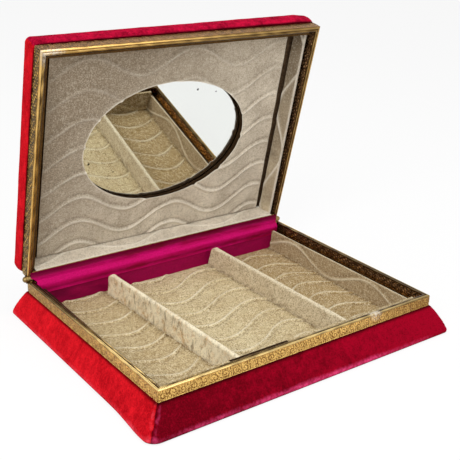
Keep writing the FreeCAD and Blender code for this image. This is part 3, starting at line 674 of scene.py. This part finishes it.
def tray_linings():
    """Leaning linings of the tray, with one sinuous rib each, and the satin one at the rear."""
    lean, card = 2.0, 2.3
    for number, side in enumerate(("left", "right", "front")):
        node = f"base_lining_{side}"
        low, high = reach(node)
        axis = 1 if side == "front" else 0
        inner = min(abs(low[axis]), abs(high[axis]))
        run = {"left": (-high[1], -low[1]), "right": (low[1], high[1]), "front": (low[0], high[0])}[side]

        def curve(a, middle=(low[2] + high[2]) / 2):
            return middle + 7.0 * np.cos(2 * math.pi * (a + 41) / 101)

        top = RIM_TOP - FRONT_DROP if side == "front" else high[2]
        worn = np.interp(np.linspace(*run, 190), (-HALF_Y, BARE_LEFT[1]), LEFT_WORN) if side == "left" else 0.0
        edges = (inner, inner + card, low[2]), (inner + lean + worn, inner + lean + card, top)
        bare = {"left": (1, *BARE_LEFT, CUT_EDGE_SHADED), "front": (1, *BARE_FRONT, CUT_EDGE_SHADED)}.get(side)
        looks = PLUSH if side == "front" else LINING_PLUSH, "beige_plush"
        # painted shade on the front lining, darker towards the right
        dim = np.linspace(-1.3, 1.0, 190)[:, None].clip(0, 0.8) if side == "front" else 0.0
        name = f"tray_lining_{side}"
        lining_strip(name, node, edges, run, curve, side, "base", looks, 50 + number, 0.5, bare, 0.8, dim)
    node = "base_lining_rear"
    low, high = reach(node)
    edges = (low[1], high[1], low[2]), (low[1], high[1], high[2])
    # painted shade: the satin is darker towards the left, where the left wall shades it
    tone = np.interp(np.linspace(0, 1, 190), (0, 0.5, 1), (1.0, 1.0, 0.1))[:, None]
    looks = PLUM, "plum_lining"
    lining_strip("tray_lining_rear", node, edges, (low[0], high[0]), None, "rear", "base", looks, 55, tone)


FRONT_DROP = 2.2  # of the front lining's top under the rim
# the bare stretches of the linings' top edges are drawn with the dark cut edge: painted shade in the gap under the
# lip
BARE_LEFT = (-HALF_Y, -16.0)  # where the left lining's top edge is bare, from the rear
LEFT_WORN = (0.0, 1.7)  # how much thinner that edge is at the rear and where it ends
BARE_FRONT = (-70.0, -16.0)  # and the front one's, from the left
tray_linings()


LID_LEAN = 1.5
LID_CARD = 1.6
RIGHT_LEAN = (6.6, 3.2)  # of the lid's right lining at the lid's front and at its hinge side
RIGHT_SHORT = 0.2  # how far it reaches past the front of the panel
RIGHT_DROP = (4.6, 0.2)  # how much shorter it is there than the others
FLAP = 0.45  # thickness of the rear lining where it covers the lip's inner edge


def lid_linings():
    """Slanting linings of the lid; the rear one comes down to the lip."""
    for number, side in enumerate(SIDES):
        node = f"lid_lining_{side}"
        low, high = reach(node, shut=True)
        axis = 1 if side in ("front", "rear") else 0
        far = max(abs(low[axis]), abs(high[axis])) - LID_CARD
        ends = (low[1 - axis], high[1 - axis])
        run = ends if side in ("front", "right") else (-ends[1], -ends[0])

        def curve(a, middle=(low[2] + high[2]) / 2):
            return middle - 6.5 * np.cos(2 * math.pi * (a + 66) / 97)

        edges = (far, far + LID_CARD, low[2]), (far - LID_LEAN, far - LID_LEAN + LID_CARD, high[2])
        if side == "rear":
            edges = (far - 0.35, far - 0.35 + FLAP, LID_RIM + 0.4), (far, far + LID_CARD, high[2])
        if side == "right":
            share = np.linspace(0, 1, 190)
            lean, drop = (np.interp(share, (0, 1), pair) for pair in (RIGHT_LEAN, RIGHT_DROP))
            deep = reach("lid_panel", shut=True)[0][2] + RIGHT_SHORT
            edges = (far, far + LID_CARD, low[2] + drop), (far - lean, far - lean + LID_CARD, deep)
        # the lid's left and front linings show the dark bare edge along the lip: painted shade
        bare = (0, -HALF_X, HALF_X, BARE_EDGE_SHADED) if side in ("left", "front") else None
        looks = LID_SHADED_PLUSH if side == "right" else LID_PLUSH, "beige_plush"
        # painted shade, darkest at the top of the right lining
        tone = np.linspace(1.0, 0.15, 190)[:, None] if side == "right" else 0.0
        ribbed = 1.0 if side in ("rear", "right") else 0.5
        name = f"lid_plush_{side}"
        lining_strip(name, node, edges, run, curve, side, "lid", looks, 60 + number, tone, bare, ribbed)


lid_linings()
PANEL_TRIM = (5.6, 0.0)  # off the panel's right edge at the lid's front and at its hinge side
FUZZ = 0.5  # how far the plush turns in at the oval
OVAL_GROW, OVAL_SHIFT = (0.4, 0.9), (-1.8, -0.7)  # of the opening, against the glass behind it
PUFF, PUFF_WIDTH = 1.5, 14.0  # how far the plush stands up right of the opening, and how wide


def lid_panel():
    """The lid's plush panel round the oval opening, with a bare cut edge."""
    low, high = reach("lid_panel", shut=True)
    glass_low, glass_high = reach("mirror_glass", shut=True)
    margin = 4.0
    half = (glass_high - glass_low)[:2] / 2 - margin + OVAL_GROW
    centre = (glass_high + glass_low)[:2] / 2 + OVAL_SHIFT
    corners = [math.atan2(y - centre[1], x - centre[0]) for x in (low[0], high[0]) for y in (low[1], high[1])]
    angles = np.sort(np.concatenate([np.linspace(-math.pi, math.pi, 900, endpoint=False), corners]))
    way = np.stack([np.cos(angles), np.sin(angles)], -1)
    oval = centre + way / np.sqrt((way[:, :1] / half[0]) ** 2 + (way[:, 1:] / half[1]) ** 2)
    level = np.abs(way) < 1e-9
    limits = np.where(way > 0, high[:2] - centre, low[:2] - centre) / np.where(level, 1.0, way)
    rim = centre + way * np.where(level, np.inf, limits).min(1, keepdims=True)
    rim[:, 0] = np.minimum(rim[:, 0], high[0] - np.interp(rim[:, 1], (low[1], high[1]), PANEL_TRIM))
    share = np.linspace(0, 1, 96)[None, :, None]
    plan = oval[:, None] * (1 - share) + rim[:, None] * share
    x, y = plan[..., 0], plan[..., 1]
    row = PANEL_FIRST - (y - wave(x, -83.5)) + 1.2 * lumps(x, y, 60, 71)
    count = (np.sqrt(PANEL_ROW**2 + 4 * PANEL_SPREAD * np.maximum(row, -60)) - PANEL_ROW) / (2 * PANEL_SPREAD)
    across = -to_nearest(count, 1.0) * (PANEL_ROW + 2 * PANEL_SPREAD * count)
    rise, pile = ribs(across, 1.15)
    rise = rise * np.clip(25 * (1 - share[..., 0]), 0, 1)
    pile = pile * np.clip(0.65 + y / 260 + x / 800 + 0.2 * lumps(x, y, 45, 73), 0.35, 1)
    edge = bell(share[..., 0] * 40, 0.9)
    puff = PUFF * np.clip(0.4 + 0.6 * way[:, :1], 0, 1) * bell(np.linalg.norm(plan - oval[:, None], axis=-1), PUFF_WIDTH)
    z = low[2] - rise - 0.3 * lumps(x, y, 20, 72) - 0.3 * edge - puff
    front = np.stack([x, y, z], -1)
    back = np.stack([front[:, -1], front[:, 0], front[:, 0]], 1)
    back[..., :2, 2] = high[2]
    back[..., 2, 2] += FUZZ
    loops = np.concatenate([front, back], 1)
    # a painted highlight round the opening, and painted shade along the rear edge
    pile = pile + 0.9 * edge - (0.9 + np.clip((x - 10) / 60, 0, 1)) * bell(high[1] - y, 1.4)
    pile = np.concatenate([pile, np.broadcast_to((0.0, 0.0, 1.0), (len(pile), 3))], 1)
    # painted shade towards the upper left and along the right edge
    tone = np.clip(0.4 - x / 200 - y / 200, 0, 1) + 0.14 * np.clip((x - 50) / 40, 0, 1)
    tone = np.concatenate([tone, np.zeros((len(tone), 3))], 1)
    thing = solid("lid_panel_plush", loops, wrap=True, shut=True, pile=pile, tone=tone)
    finish_piece(thing, LID_PLUSH, "lid", "beige_plush", "lid_panel")
    # the opening's wall takes the dark cut edge: painted shade
    thing.data.materials.append(CUT_EDGE_SHADED)
    ring = loops.shape[1]
    for index, face in enumerate(thing.data.polygons):
        if index % ring in (ring - 4, ring - 3, ring - 2):
            face.material_index = 1


lid_panel()

def divider(name, seed):
    """A plush-covered card with a soft rounded top, thicker at its raked rear end."""
    low, high = reach(name)
    turn = math.radians(DIVIDER_TURNS[name])
    length = (high[1] - low[1]) / math.cos(turn) - REAR_GAPS[name]
    tall = high[2] - low[2]
    thick, rake = 2 * DIVIDER_HALF, DIVIDER_RAKES[name]
    along = np.concatenate([np.linspace(0, length - 9, 150), np.linspace(length - 9, length, 14)[1:]])
    up = np.linspace(0, 1, 22)
    crown = np.linspace(0, math.pi, 11)[1:-1]
    straight = up * (tall - thick / 2)
    side_up = np.concatenate([straight, tall - thick / 2 + thick / 2 * np.sin(crown), straight[::-1]])
    side_out = np.concatenate([np.ones(22), np.cos(crown), -np.ones(22)]) * thick / 2
    a = np.broadcast_to(along[:, None], (len(along), len(side_up)))
    z = np.broadcast_to(side_up, a.shape)
    shade = lumps(a + 0.6 * z, 0.35 * z, 5, seed) + 0.6 * lumps(a - 0.5 * z, 0.3 * z, 9, seed + 1)
    wrinkle = 0.28 * shade * np.clip(1 - (z / tall) ** 6, 0, 1)
    swell = 1 + 0.35 * bell(a - length, 7) + 0.12 * bell(a, 4)
    z = z - 1.6 * (z / tall) ** 2 * np.clip((a - length + 4) / 4, 0, 1) ** 2
    out = side_out * (swell + wrinkle / (thick / 2))
    back = a - rake * (z / tall) * np.clip((a - length + 60) / 60, 0, 1)
    back = back - (0.9 + 2.2 * z / tall) * np.clip(1 - a / 40, 0, 1)
    edge = np.clip((z / tall - 0.92) / 0.08, 0, 1)
    # a painted highlight along the rounded top, painted shading of the wrinkles and painted shade at the foot
    pile = 0.25 * np.clip(shade, -1, 1) * (1 - edge) + 0.55 * edge - 0.5 * bell(z, 2.5)
    front_x = foot_line(name, low[1])
    px = front_x + out * math.cos(turn) - back * math.sin(turn)
    py = low[1] + 0.1 + out * math.sin(turn) + back * math.cos(turn)
    loops = np.stack([px, py, low[2] + z], -1)
    thing = solid(f"{name}_plush", loops, pile=pile)
    finish_piece(thing, DIVIDER_LOOKS[name], "base", "beige_plush", name)


divider("divider_left", 81)
divider("divider_right", 85)


# Embossed brass
SCROLL, ARM = 8.8, 2.2  # length of one curl of the scroll, and between its arms
PLATE_BACK, PLATE_FRONT, RELIEF = -0.05, 0.06, 0.34
FLECKS = 1.9  # how dense the bright flecks are on a darkened band


def scroll(along, across, half):
    """Height from 0 to 1 of a running scroll of leafy curls between two plain lines, worn unevenly."""
    place = along + 0.8 * np.sin(along / 9.1) + 0.4 * np.sin(along / 3.7) + 0.35 * across
    number = np.round(place / SCROLL)
    u = place - number * SCROLL + 0.6 * np.sin(1.3 * number)
    v = (across + 0.8 * np.sin(2.4 * number)) * np.where(number % 2 == 0, 1, -1)
    radius, turn = np.hypot(u, v), np.arctan2(v, u) + 1.9 * number
    pitch = ARM * (1 + 0.15 * np.sin(1.7 * number))
    arms = bell(to_nearest(radius - pitch * turn / (2 * math.pi), pitch), 0.42) * np.clip((3.9 - radius) / 0.8, 0, 1)
    leaves = bell(to_nearest(0.7 * np.abs(u) + 0.6 * v + 0.5 * np.sin(v), 1.5), 0.36) * np.clip(radius - 2.6, 0, 1)
    veins = bell(radius * to_nearest(turn - 0.45 * radius, math.pi / 4), 0.3) * np.clip(radius - 0.8, 0, 1)
    veins = np.maximum(veins, leaves)
    stems = 0.6 * bell(place - number * SCROLL + SCROLL / 2 - 1.0 + 1.1 * np.sin(0.9 * across), 0.36)
    cuts = np.maximum(np.maximum(arms, 0.9 * veins), stems) * np.clip((half - np.abs(across)) / 0.5, 0, 1)
    cuts = cuts * np.clip(0.95 + 0.5 * lumps(along, across, 2.4, 96), 0.5, 1)
    worn = 0.32 * lumps(along, across, 1.5, 93) + 0.2 * lumps(along, across, 7, 94)
    return np.clip(0.82 - cuts + worn, 0, 1)


def plate(name, side, body, run, heights, distance, outwards, material, painted_reflection=(1.0, 1.0), flecked=True):
    """A relief over a run of a brass band, facing outwards or, with its relief reversed, inwards.

    polish is how bright it is painted from the start of the run to its end, a painted reflection that is darker
    where the band reflected dark surroundings; a flecked one is bright in spots.
    """
    along = np.linspace(run[0], run[1], int((run[1] - run[0]) / 0.34))
    up = np.linspace(heights[0], heights[1], 24)
    a, z = np.meshgrid(along, up, indexing="ij")
    relief = scroll(a, z - np.mean(heights), (heights[1] - heights[0]) / 2)
    sign = 1 if outwards else -1
    rise = relief if outwards else 1 - relief
    face = np.stack([a, distance + sign * (PLATE_FRONT + RELIEF * rise), z], -1)
    if flecked:
        relief = 0.4 * relief**2 + np.clip(FLECKS * lumps(a, z, 2.6, 95) - 0.75, 0, 0.9)
    relief = relief * np.interp(a, np.linspace(*run, len(painted_reflection)), painted_reflection)
    back = np.stack([face[:, -1], face[:, 0]], 1)
    back[..., 1] = distance + sign * PLATE_BACK
    loops = turned(np.concatenate([face, back], 1), side)
    relief = np.concatenate([relief, np.zeros((len(along), 2))], 1)
    thing = solid(name, loops, shut=body == "lid", sharp=60, relief=relief)
    finish_piece(thing, material, body, "brass_strip")


BEAD, LIP_WIDTH, LIP_DEPTH, GAUGE = 1.1, 4.4, 1.3, 0.7
HINGE_END = 101.6  # where the hinge leaves start along the rear, from the middle
NOTCH_END = 98.0


def relief_run(side, outwards):
    """Where a relief starts and ends along a side, clear of the hinges."""
    half = halves(side)[0] if outwards else halves(side)[0] - WALL_FACE - 0.5
    if side == "rear":
        return (-HINGE_END, HINGE_END) if outwards else (-half, half)
    if side == "right":
        return -half, min(half, NOTCH_END)
    if side == "left":
        return -min(half, NOTCH_END), half
    return -half, half


# painted reflection along each band from the start of its run to its end, darker where it reflected dark surroundings
BAND_REFLECTION = {"front": (0.95, 1.0, 0.95, 0.35), "right": (0.7, 0.7), "rear": (0.8, 0.8), "left": (0.4, 0.65, 0.95)}
LID_BAND_REFLECTION = {"front": (0.5, 0.62, 0.5), "right": (0.7, 0.7), "rear": (0.8, 0.8), "left": (1.0, 1.1)}
WALL_FACE = 3.0  # the lid's wall boards stand this far in from the outside of the band
for side in SIDES:
    out = halves(side)[1]
    tray = (BAND_FOOT + 0.05, RIM_TOP - BEAD)
    lid = (LID_RIM + BEAD, LID_BAND_TOP - 0.05)
    run = relief_run(side, True)
    # the tray's rear band and the lid's bands take darker copies: painted dark reflection
    finish = EMBOSSED_DARK_REFLECTION if side == "rear" else EMBOSSED
    plate(f"tray_relief_{side}", side, "base", run, tray, out, True, finish, BAND_REFLECTION[side], False)
    finish = FLECKED if side == "left" else EMBOSSED_DARK_REFLECTION
    plate(f"lid_relief_{side}", side, "lid", run, lid, out, True, finish, LID_BAND_REFLECTION[side], side == "left")
    inside = (BAND_FOOT + GAUGE + 0.05, RIM_TOP - LIP_DEPTH - 0.05)
    lid_inside = (LID_RIM + LIP_DEPTH + 0.05, LID_BAND_TOP + 1.5)
    run = relief_run(side, False)
    plate(f"tray_inside_{side}", side, "base", run, inside, out - GAUGE, False, INSIDE_BRASS)
    plate(f"lid_inside_{side}", side, "lid", run, lid_inside, out - WALL_FACE - 0.1, False, INSIDE_BRASS)


LIP_SKIN = 0.06  # of a lip's polished face over its solid
GROOVE_AT, GROOVE_DROP = 2.05, 0.55
CROWN, EDGE_DROP = 0.4, 0.6


def lip(name, side, body, dull, shine):
    """The polished face of a lip, mitred at its ends: a bead, a dark groove and a crowned inner strip.

    dull is how bright the inner strip is painted, and shine the whole lip's brightness at its two ends: painted
    reflections, bright where the metal caught highlights and dark where it reflected dark surroundings.
    """
    turn = np.linspace(math.pi, math.pi / 6, 13)
    share = np.linspace(0, 1, 11)[1:]
    bead = np.stack([BEAD + (BEAD + LIP_SKIN) * np.cos(turn), BEAD - (BEAD + LIP_SKIN) * np.sin(turn)], -1)
    crown = np.stack(
        [
            GROOVE_AT + (LIP_WIDTH + LIP_SKIN - GROOVE_AT) * share,
            GROOVE_DROP + (EDGE_DROP - GROOVE_DROP) * share - 4 * CROWN * share * (1 - share) - LIP_SKIN,
        ],
        -1,
    )
    back = np.array([(LIP_WIDTH + LIP_SKIN, LIP_DEPTH - 0.1), (LIP_WIDTH - 0.3, LIP_DEPTH - 0.2), (0.3, LIP_DEPTH)])
    section = np.concatenate([bead, crown, back])
    # painted reflections across the lip: bright on the bead's crown, dark at the groove, dimmer on the inner strip
    on_bead = 0.4 + 0.6 * np.sin(turn) ** 2 - 1.1 * bell(turn - math.pi / 6, 0.45)
    on_crown = dull * np.sin(math.pi * share) ** 0.8
    painted_reflection = np.concatenate([on_bead, on_crown, np.zeros(3)])
    half, out = halves(side)
    ends = np.stack([half - section[:, 0]] * 2)
    if side in ("left", "right"):
        ends[0 if side == "left" else 1] = NOTCH_END
    steps = np.linspace(0, 1, 120)[:, None]
    along = -ends[0] + (ends[0] + ends[1]) * steps
    inwards = np.broadcast_to(out - section[:, 0], along.shape)
    up = RIM_TOP - section[:, 1] if body == "base" else LID_RIM + section[:, 1]
    loops = turned(np.stack([along, inwards, np.broadcast_to(up, along.shape)], -1), side)
    wear = 0.25 * lumps(along, 3 * section[:, 0], 16, 97) + 0.15 * lumps(along, 5 * section[:, 0], 5, 98)
    faded = np.interp(steps, np.linspace(0, 1, len(shine)), shine)
    relief = np.clip((painted_reflection + wear * (painted_reflection > 0.05)) * faded, 0, 1)
    thing = solid(name, loops, shut=body == "lid", sharp=50, relief=relief)
    finish_piece(thing, LIP_BRASS if body == "base" else LID_LIP_BRASS, body, "brass_strip")


# per lip, how bright the inner strip is painted and its painted reflection along the run
TRAY_LIPS = {
    "front": (0.3, (1.2, 0.55, 0.7, 0.5, 0.28)),
    "left": (0.35, (0.1, 0.25, 1.1, 1.1)),
    "right": (0.2, (0.2, 0.7)),
}
LID_LIPS = {
    "front": (0.5, (1.0, 0.72, 0.38, 0.28)),
    "left": (0.35, (0.8, 0.85)),
    "right": (0.5, (0.5, 0.42)),
}
for side, (dull, shine) in TRAY_LIPS.items():
    lip(f"tray_lip_{side}", side, "base", dull, shine)
for side, (dull, shine) in LID_LIPS.items():
    lip(f"lid_lip_{side}", side, "lid", dull, shine)


# Ribbon over the hinge
RIBBON_SPREAD = 3.2  # how much wider it is at each end over the lips


def ribbon():
    """A satin strip from the lid's lining over both lips to the tray's lining, slightly rippled."""
    low, high = reach("hinge_ribbon")
    thick = 0.4
    lip_edge = HALF_Y - LIP_WIDTH

    def on_lid(y, z):
        place = LID_OPEN @ (Vector((0, y, z)) * MM) / MM
        return place.y, place.z

    lid_lip = on_lid(lip_edge - 0.1, LID_RIM - 0.45)
    tray_lip = (lip_edge - 0.3, RIM_TOP + 0.5)
    route = [
        lid_lip,
        on_lid(lip_edge + 2.6, LID_RIM - 0.6),
        (HALF_Y - 1.6, RIM_TOP + 1.2),
        tray_lip,
        (low[1] - 0.1, 29.0),
        (low[1] + 0.2, 26.0),
        (low[1] + 0.45, low[2]),
    ]
    way = np.array(route)
    gaps = np.concatenate([[0], np.cumsum(np.hypot(*np.diff(way, axis=0).T))])
    share = np.linspace(0, 1, 60)
    y = np.interp(share * gaps[-1], gaps, way[:, 0])
    z = np.interp(share * gaps[-1], gaps, way[:, 1])
    for _ in range(4):
        y[1:-1] = (y[:-2] + 2 * y[1:-1] + y[2:]) / 4
        z[1:-1] = (z[:-2] + 2 * z[1:-1] + z[2:]) / 4
    course = np.stack([np.gradient(y), np.gradient(z)], -1)
    course /= np.linalg.norm(course, axis=1, keepdims=True)
    front = np.stack([course[:, 1], -course[:, 0]], -1)
    spread = 1 + RIBBON_SPREAD * np.clip((z - tray_lip[1]) / 1.5, 0, 1) / high[0]
    columns = np.linspace(low[0], high[0], 240)[:, None] * spread
    ripple = 0.25 * lumps(columns, 30 * share, 14, 91) * np.sin(math.pi * share)
    lift = ripple + thick / 2
    face = np.stack([columns, y + lift * front[:, 0], z + lift * front[:, 1]], -1)
    back_lift = np.maximum(ripple, 0) - thick / 2
    back = np.stack([columns, y + back_lift * front[:, 0], z + back_lift * front[:, 1]], -1)
    # painted shade on the part over the lips and in the fold low on the fall
    crease = np.clip((z - tray_lip[1] + 0.4) / 4.2, 0, 0.74) + 0.45 * bell(z - 24.5, 1.4)
    # painted highlight on the upper fall inside the tray's lip, along the lower edge and towards the left
    tone = bell(z - 30.2, 2.4) + 0.5 * bell(z - low[2], 0.5) + 0.6 * np.clip(-columns / high[0], 0, 1)
    crease = np.broadcast_to(crease, columns.shape)
    fields = {"crease": crease, "tone": tone}
    fields = {key: np.concatenate([values, values[:, ::-1]], 1) for key, values in fields.items()}
    thing = solid("hinge_ribbon_satin", np.concatenate([face, back[:, ::-1]], 1), **fields)
    finish_piece(thing, RIBBON, None, "satin_ribbon", "hinge_ribbon")
    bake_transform(thing)


ribbon()

# Looking glass, frames, hinges and boards keep their solids
SPECKS = [((26.2, -43.0), 1.4), ((46.3, -38.8), 1.1), ((-75.0, 13.5), 1.4), ((-50.3, 25.1), 1.1)]
glass_low, glass_high = reach("mirror_glass", shut=True)


def in_glass(x, y, z):
    """A place on the lid, given with the lid shut, where it is now."""
    return LID_OPEN @ (Vector((x, y, z)) * MM)


speck_points = [(in_glass(x, y, glass_high[2]), radius) for (x, y), radius in SPECKS]
glass_faces = in_glass(0, 0, glass_low[2]), in_glass(0, 0, glass_high[2])
KEPT = {
    "mirror_glass": silvered("silvered_glass", *glass_faces, speck_points),
    "base_bottom_cloth": FELT,
}
for name, thing in frame["nodes"].items():
    material = KEPT.get(name)
    if "_rim_" in name:
        material = BRASS
    elif name.startswith("hinge_") and name != "hinge_ribbon":
        material = HINGE_BRASS
    elif name == "lid_panel_spacer" or name.startswith("lid_wall"):
        # dark card: painted shade in the gaps round the lid's panel
        material = SHADE_CARD
    elif name.endswith("board") or "_wall_" in name:
        material = BOARD
    if material:
        thing.data.materials.clear()
        thing.data.materials.append(material)
        thing.data.shade_smooth()
        thing.data.set_sharp_from_angle(angle=math.radians(30))


# Stage, light and camera
def seen(tree):
    """1 for rays that show the background: camera, gloss and transmission."""
    path = tree.nodes.new("ShaderNodeLightPath")
    total = path.outputs["Is Camera Ray"]
    for name in ("Is Glossy Ray", "Is Transmission Ray"):
        most = tree.nodes.new("ShaderNodeMath")
        most.operation = "MAXIMUM"
        tree.links.new(total, most.inputs[0])
        tree.links.new(path.outputs[name], most.inputs[1])
        total = most.outputs[0]
    return total


AMBIENT = 0.55
FLOOR_SHOWN = 0.86  # share of the floor's plain white in what the camera sees, the rest takes the shadow


def world():
    """White background, and even light of a lower strength."""
    bpy.context.scene.world = bpy.data.worlds.new("studio")
    studio = bpy.context.scene.world
    studio.use_nodes = True
    tree = studio.node_tree
    ground = tree.nodes["Background"]
    ground.inputs["Color"].default_value = (1, 1, 1, 1)
    strength = tree.nodes.new("ShaderNodeMapRange")
    strength.inputs[3].default_value = AMBIENT
    tree.links.new(seen(tree), strength.inputs["Value"])
    tree.links.new(strength.outputs[0], ground.inputs["Strength"])


def floor():
    """A wide white floor that keeps a soft shadow."""
    mesh = bpy.data.meshes.new("floor")
    wide = 6.0
    mesh.from_pydata([(-wide, -wide, 0), (wide, -wide, 0), (wide, wide, 0), (-wide, wide, 0)], [], [(0, 1, 2, 3)])
    thing = bpy.data.objects.new("floor", mesh)
    thing.location.z = -0.0002
    bpy.context.scene.collection.objects.link(thing)
    material = bpy.data.materials.new("white_floor")
    material.use_nodes = True
    tree = material.node_tree
    tree.nodes.remove(tree.nodes["Principled BSDF"])
    matt = tree.nodes.new("ShaderNodeBsdfDiffuse")
    matt.inputs["Color"].default_value = (0.88, 0.88, 0.88, 1)
    white = tree.nodes.new("ShaderNodeEmission")
    mixed = tree.nodes.new("ShaderNodeMixShader")
    share = tree.nodes.new("ShaderNodeMath")
    share.operation = "MULTIPLY"
    share.inputs[1].default_value = FLOOR_SHOWN
    tree.links.new(seen(tree), share.inputs[0])
    tree.links.new(share.outputs[0], mixed.inputs["Fac"])
    tree.links.new(matt.outputs[0], mixed.inputs[1])
    tree.links.new(white.outputs[0], mixed.inputs[2])
    tree.links.new(mixed.outputs[0], tree.nodes["Material Output"].inputs["Surface"])
    mesh.materials.append(material)


def lamp(name, place, aim, width, power, colour=(1, 1, 1)):
    """A soft square lamp aimed at a point."""
    light = bpy.data.lights.new(name, "AREA")
    light.size = width
    light.energy = power
    light.color = colour
    thing = bpy.data.objects.new(name, light)
    thing.location = place
    thing.rotation_euler = (Vector(aim) - Vector(place)).to_track_quat("-Z", "Y").to_euler()
    bpy.context.scene.collection.objects.link(thing)


CAMERA_AT = (-411.8, -524.3, 353.8)
CAMERA_YAW, CAMERA_PITCH, CAMERA_ROLL = 37.97, 21.99, -2.60
CAMERA_LENS = 69.2


def camera():
    """The photograph's view: in front, to the left and above, slightly rolled."""
    yaw, pitch, roll = (math.radians(angle) for angle in (CAMERA_YAW, CAMERA_PITCH, CAMERA_ROLL))
    forward = Vector((math.sin(yaw) * math.cos(pitch), math.cos(yaw) * math.cos(pitch), -math.sin(pitch)))
    level = Vector((math.cos(yaw), -math.sin(yaw), 0))
    down = forward.cross(level)
    right = math.cos(roll) * level + math.sin(roll) * down
    down = math.cos(roll) * down - math.sin(roll) * level
    data = bpy.data.cameras.new("camera")
    data.lens = CAMERA_LENS
    data.clip_end = 20
    thing = bpy.data.objects.new("camera", data)
    turn = Matrix((right, -down, -forward)).transposed().to_4x4()
    thing.matrix_world = Matrix.Translation(Vector(CAMERA_AT) * MM) @ turn
    bpy.context.scene.collection.objects.link(thing)
    bpy.context.scene.camera = thing


world()
floor()
MIDDLE = (0, 0, 0.08)
lamp("key", (-1.0, -0.6, 0.9), MIDDLE, 0.6, 11.0)
lamp("front_fill", (0.5, -1.3, 0.6), MIDDLE, 0.8, 3.5)
lamp("top", (0.1, -0.2, 1.3), MIDDLE, 0.7, 6.0)
camera()
bpy.context.scene.view_settings.view_transform = "Standard"
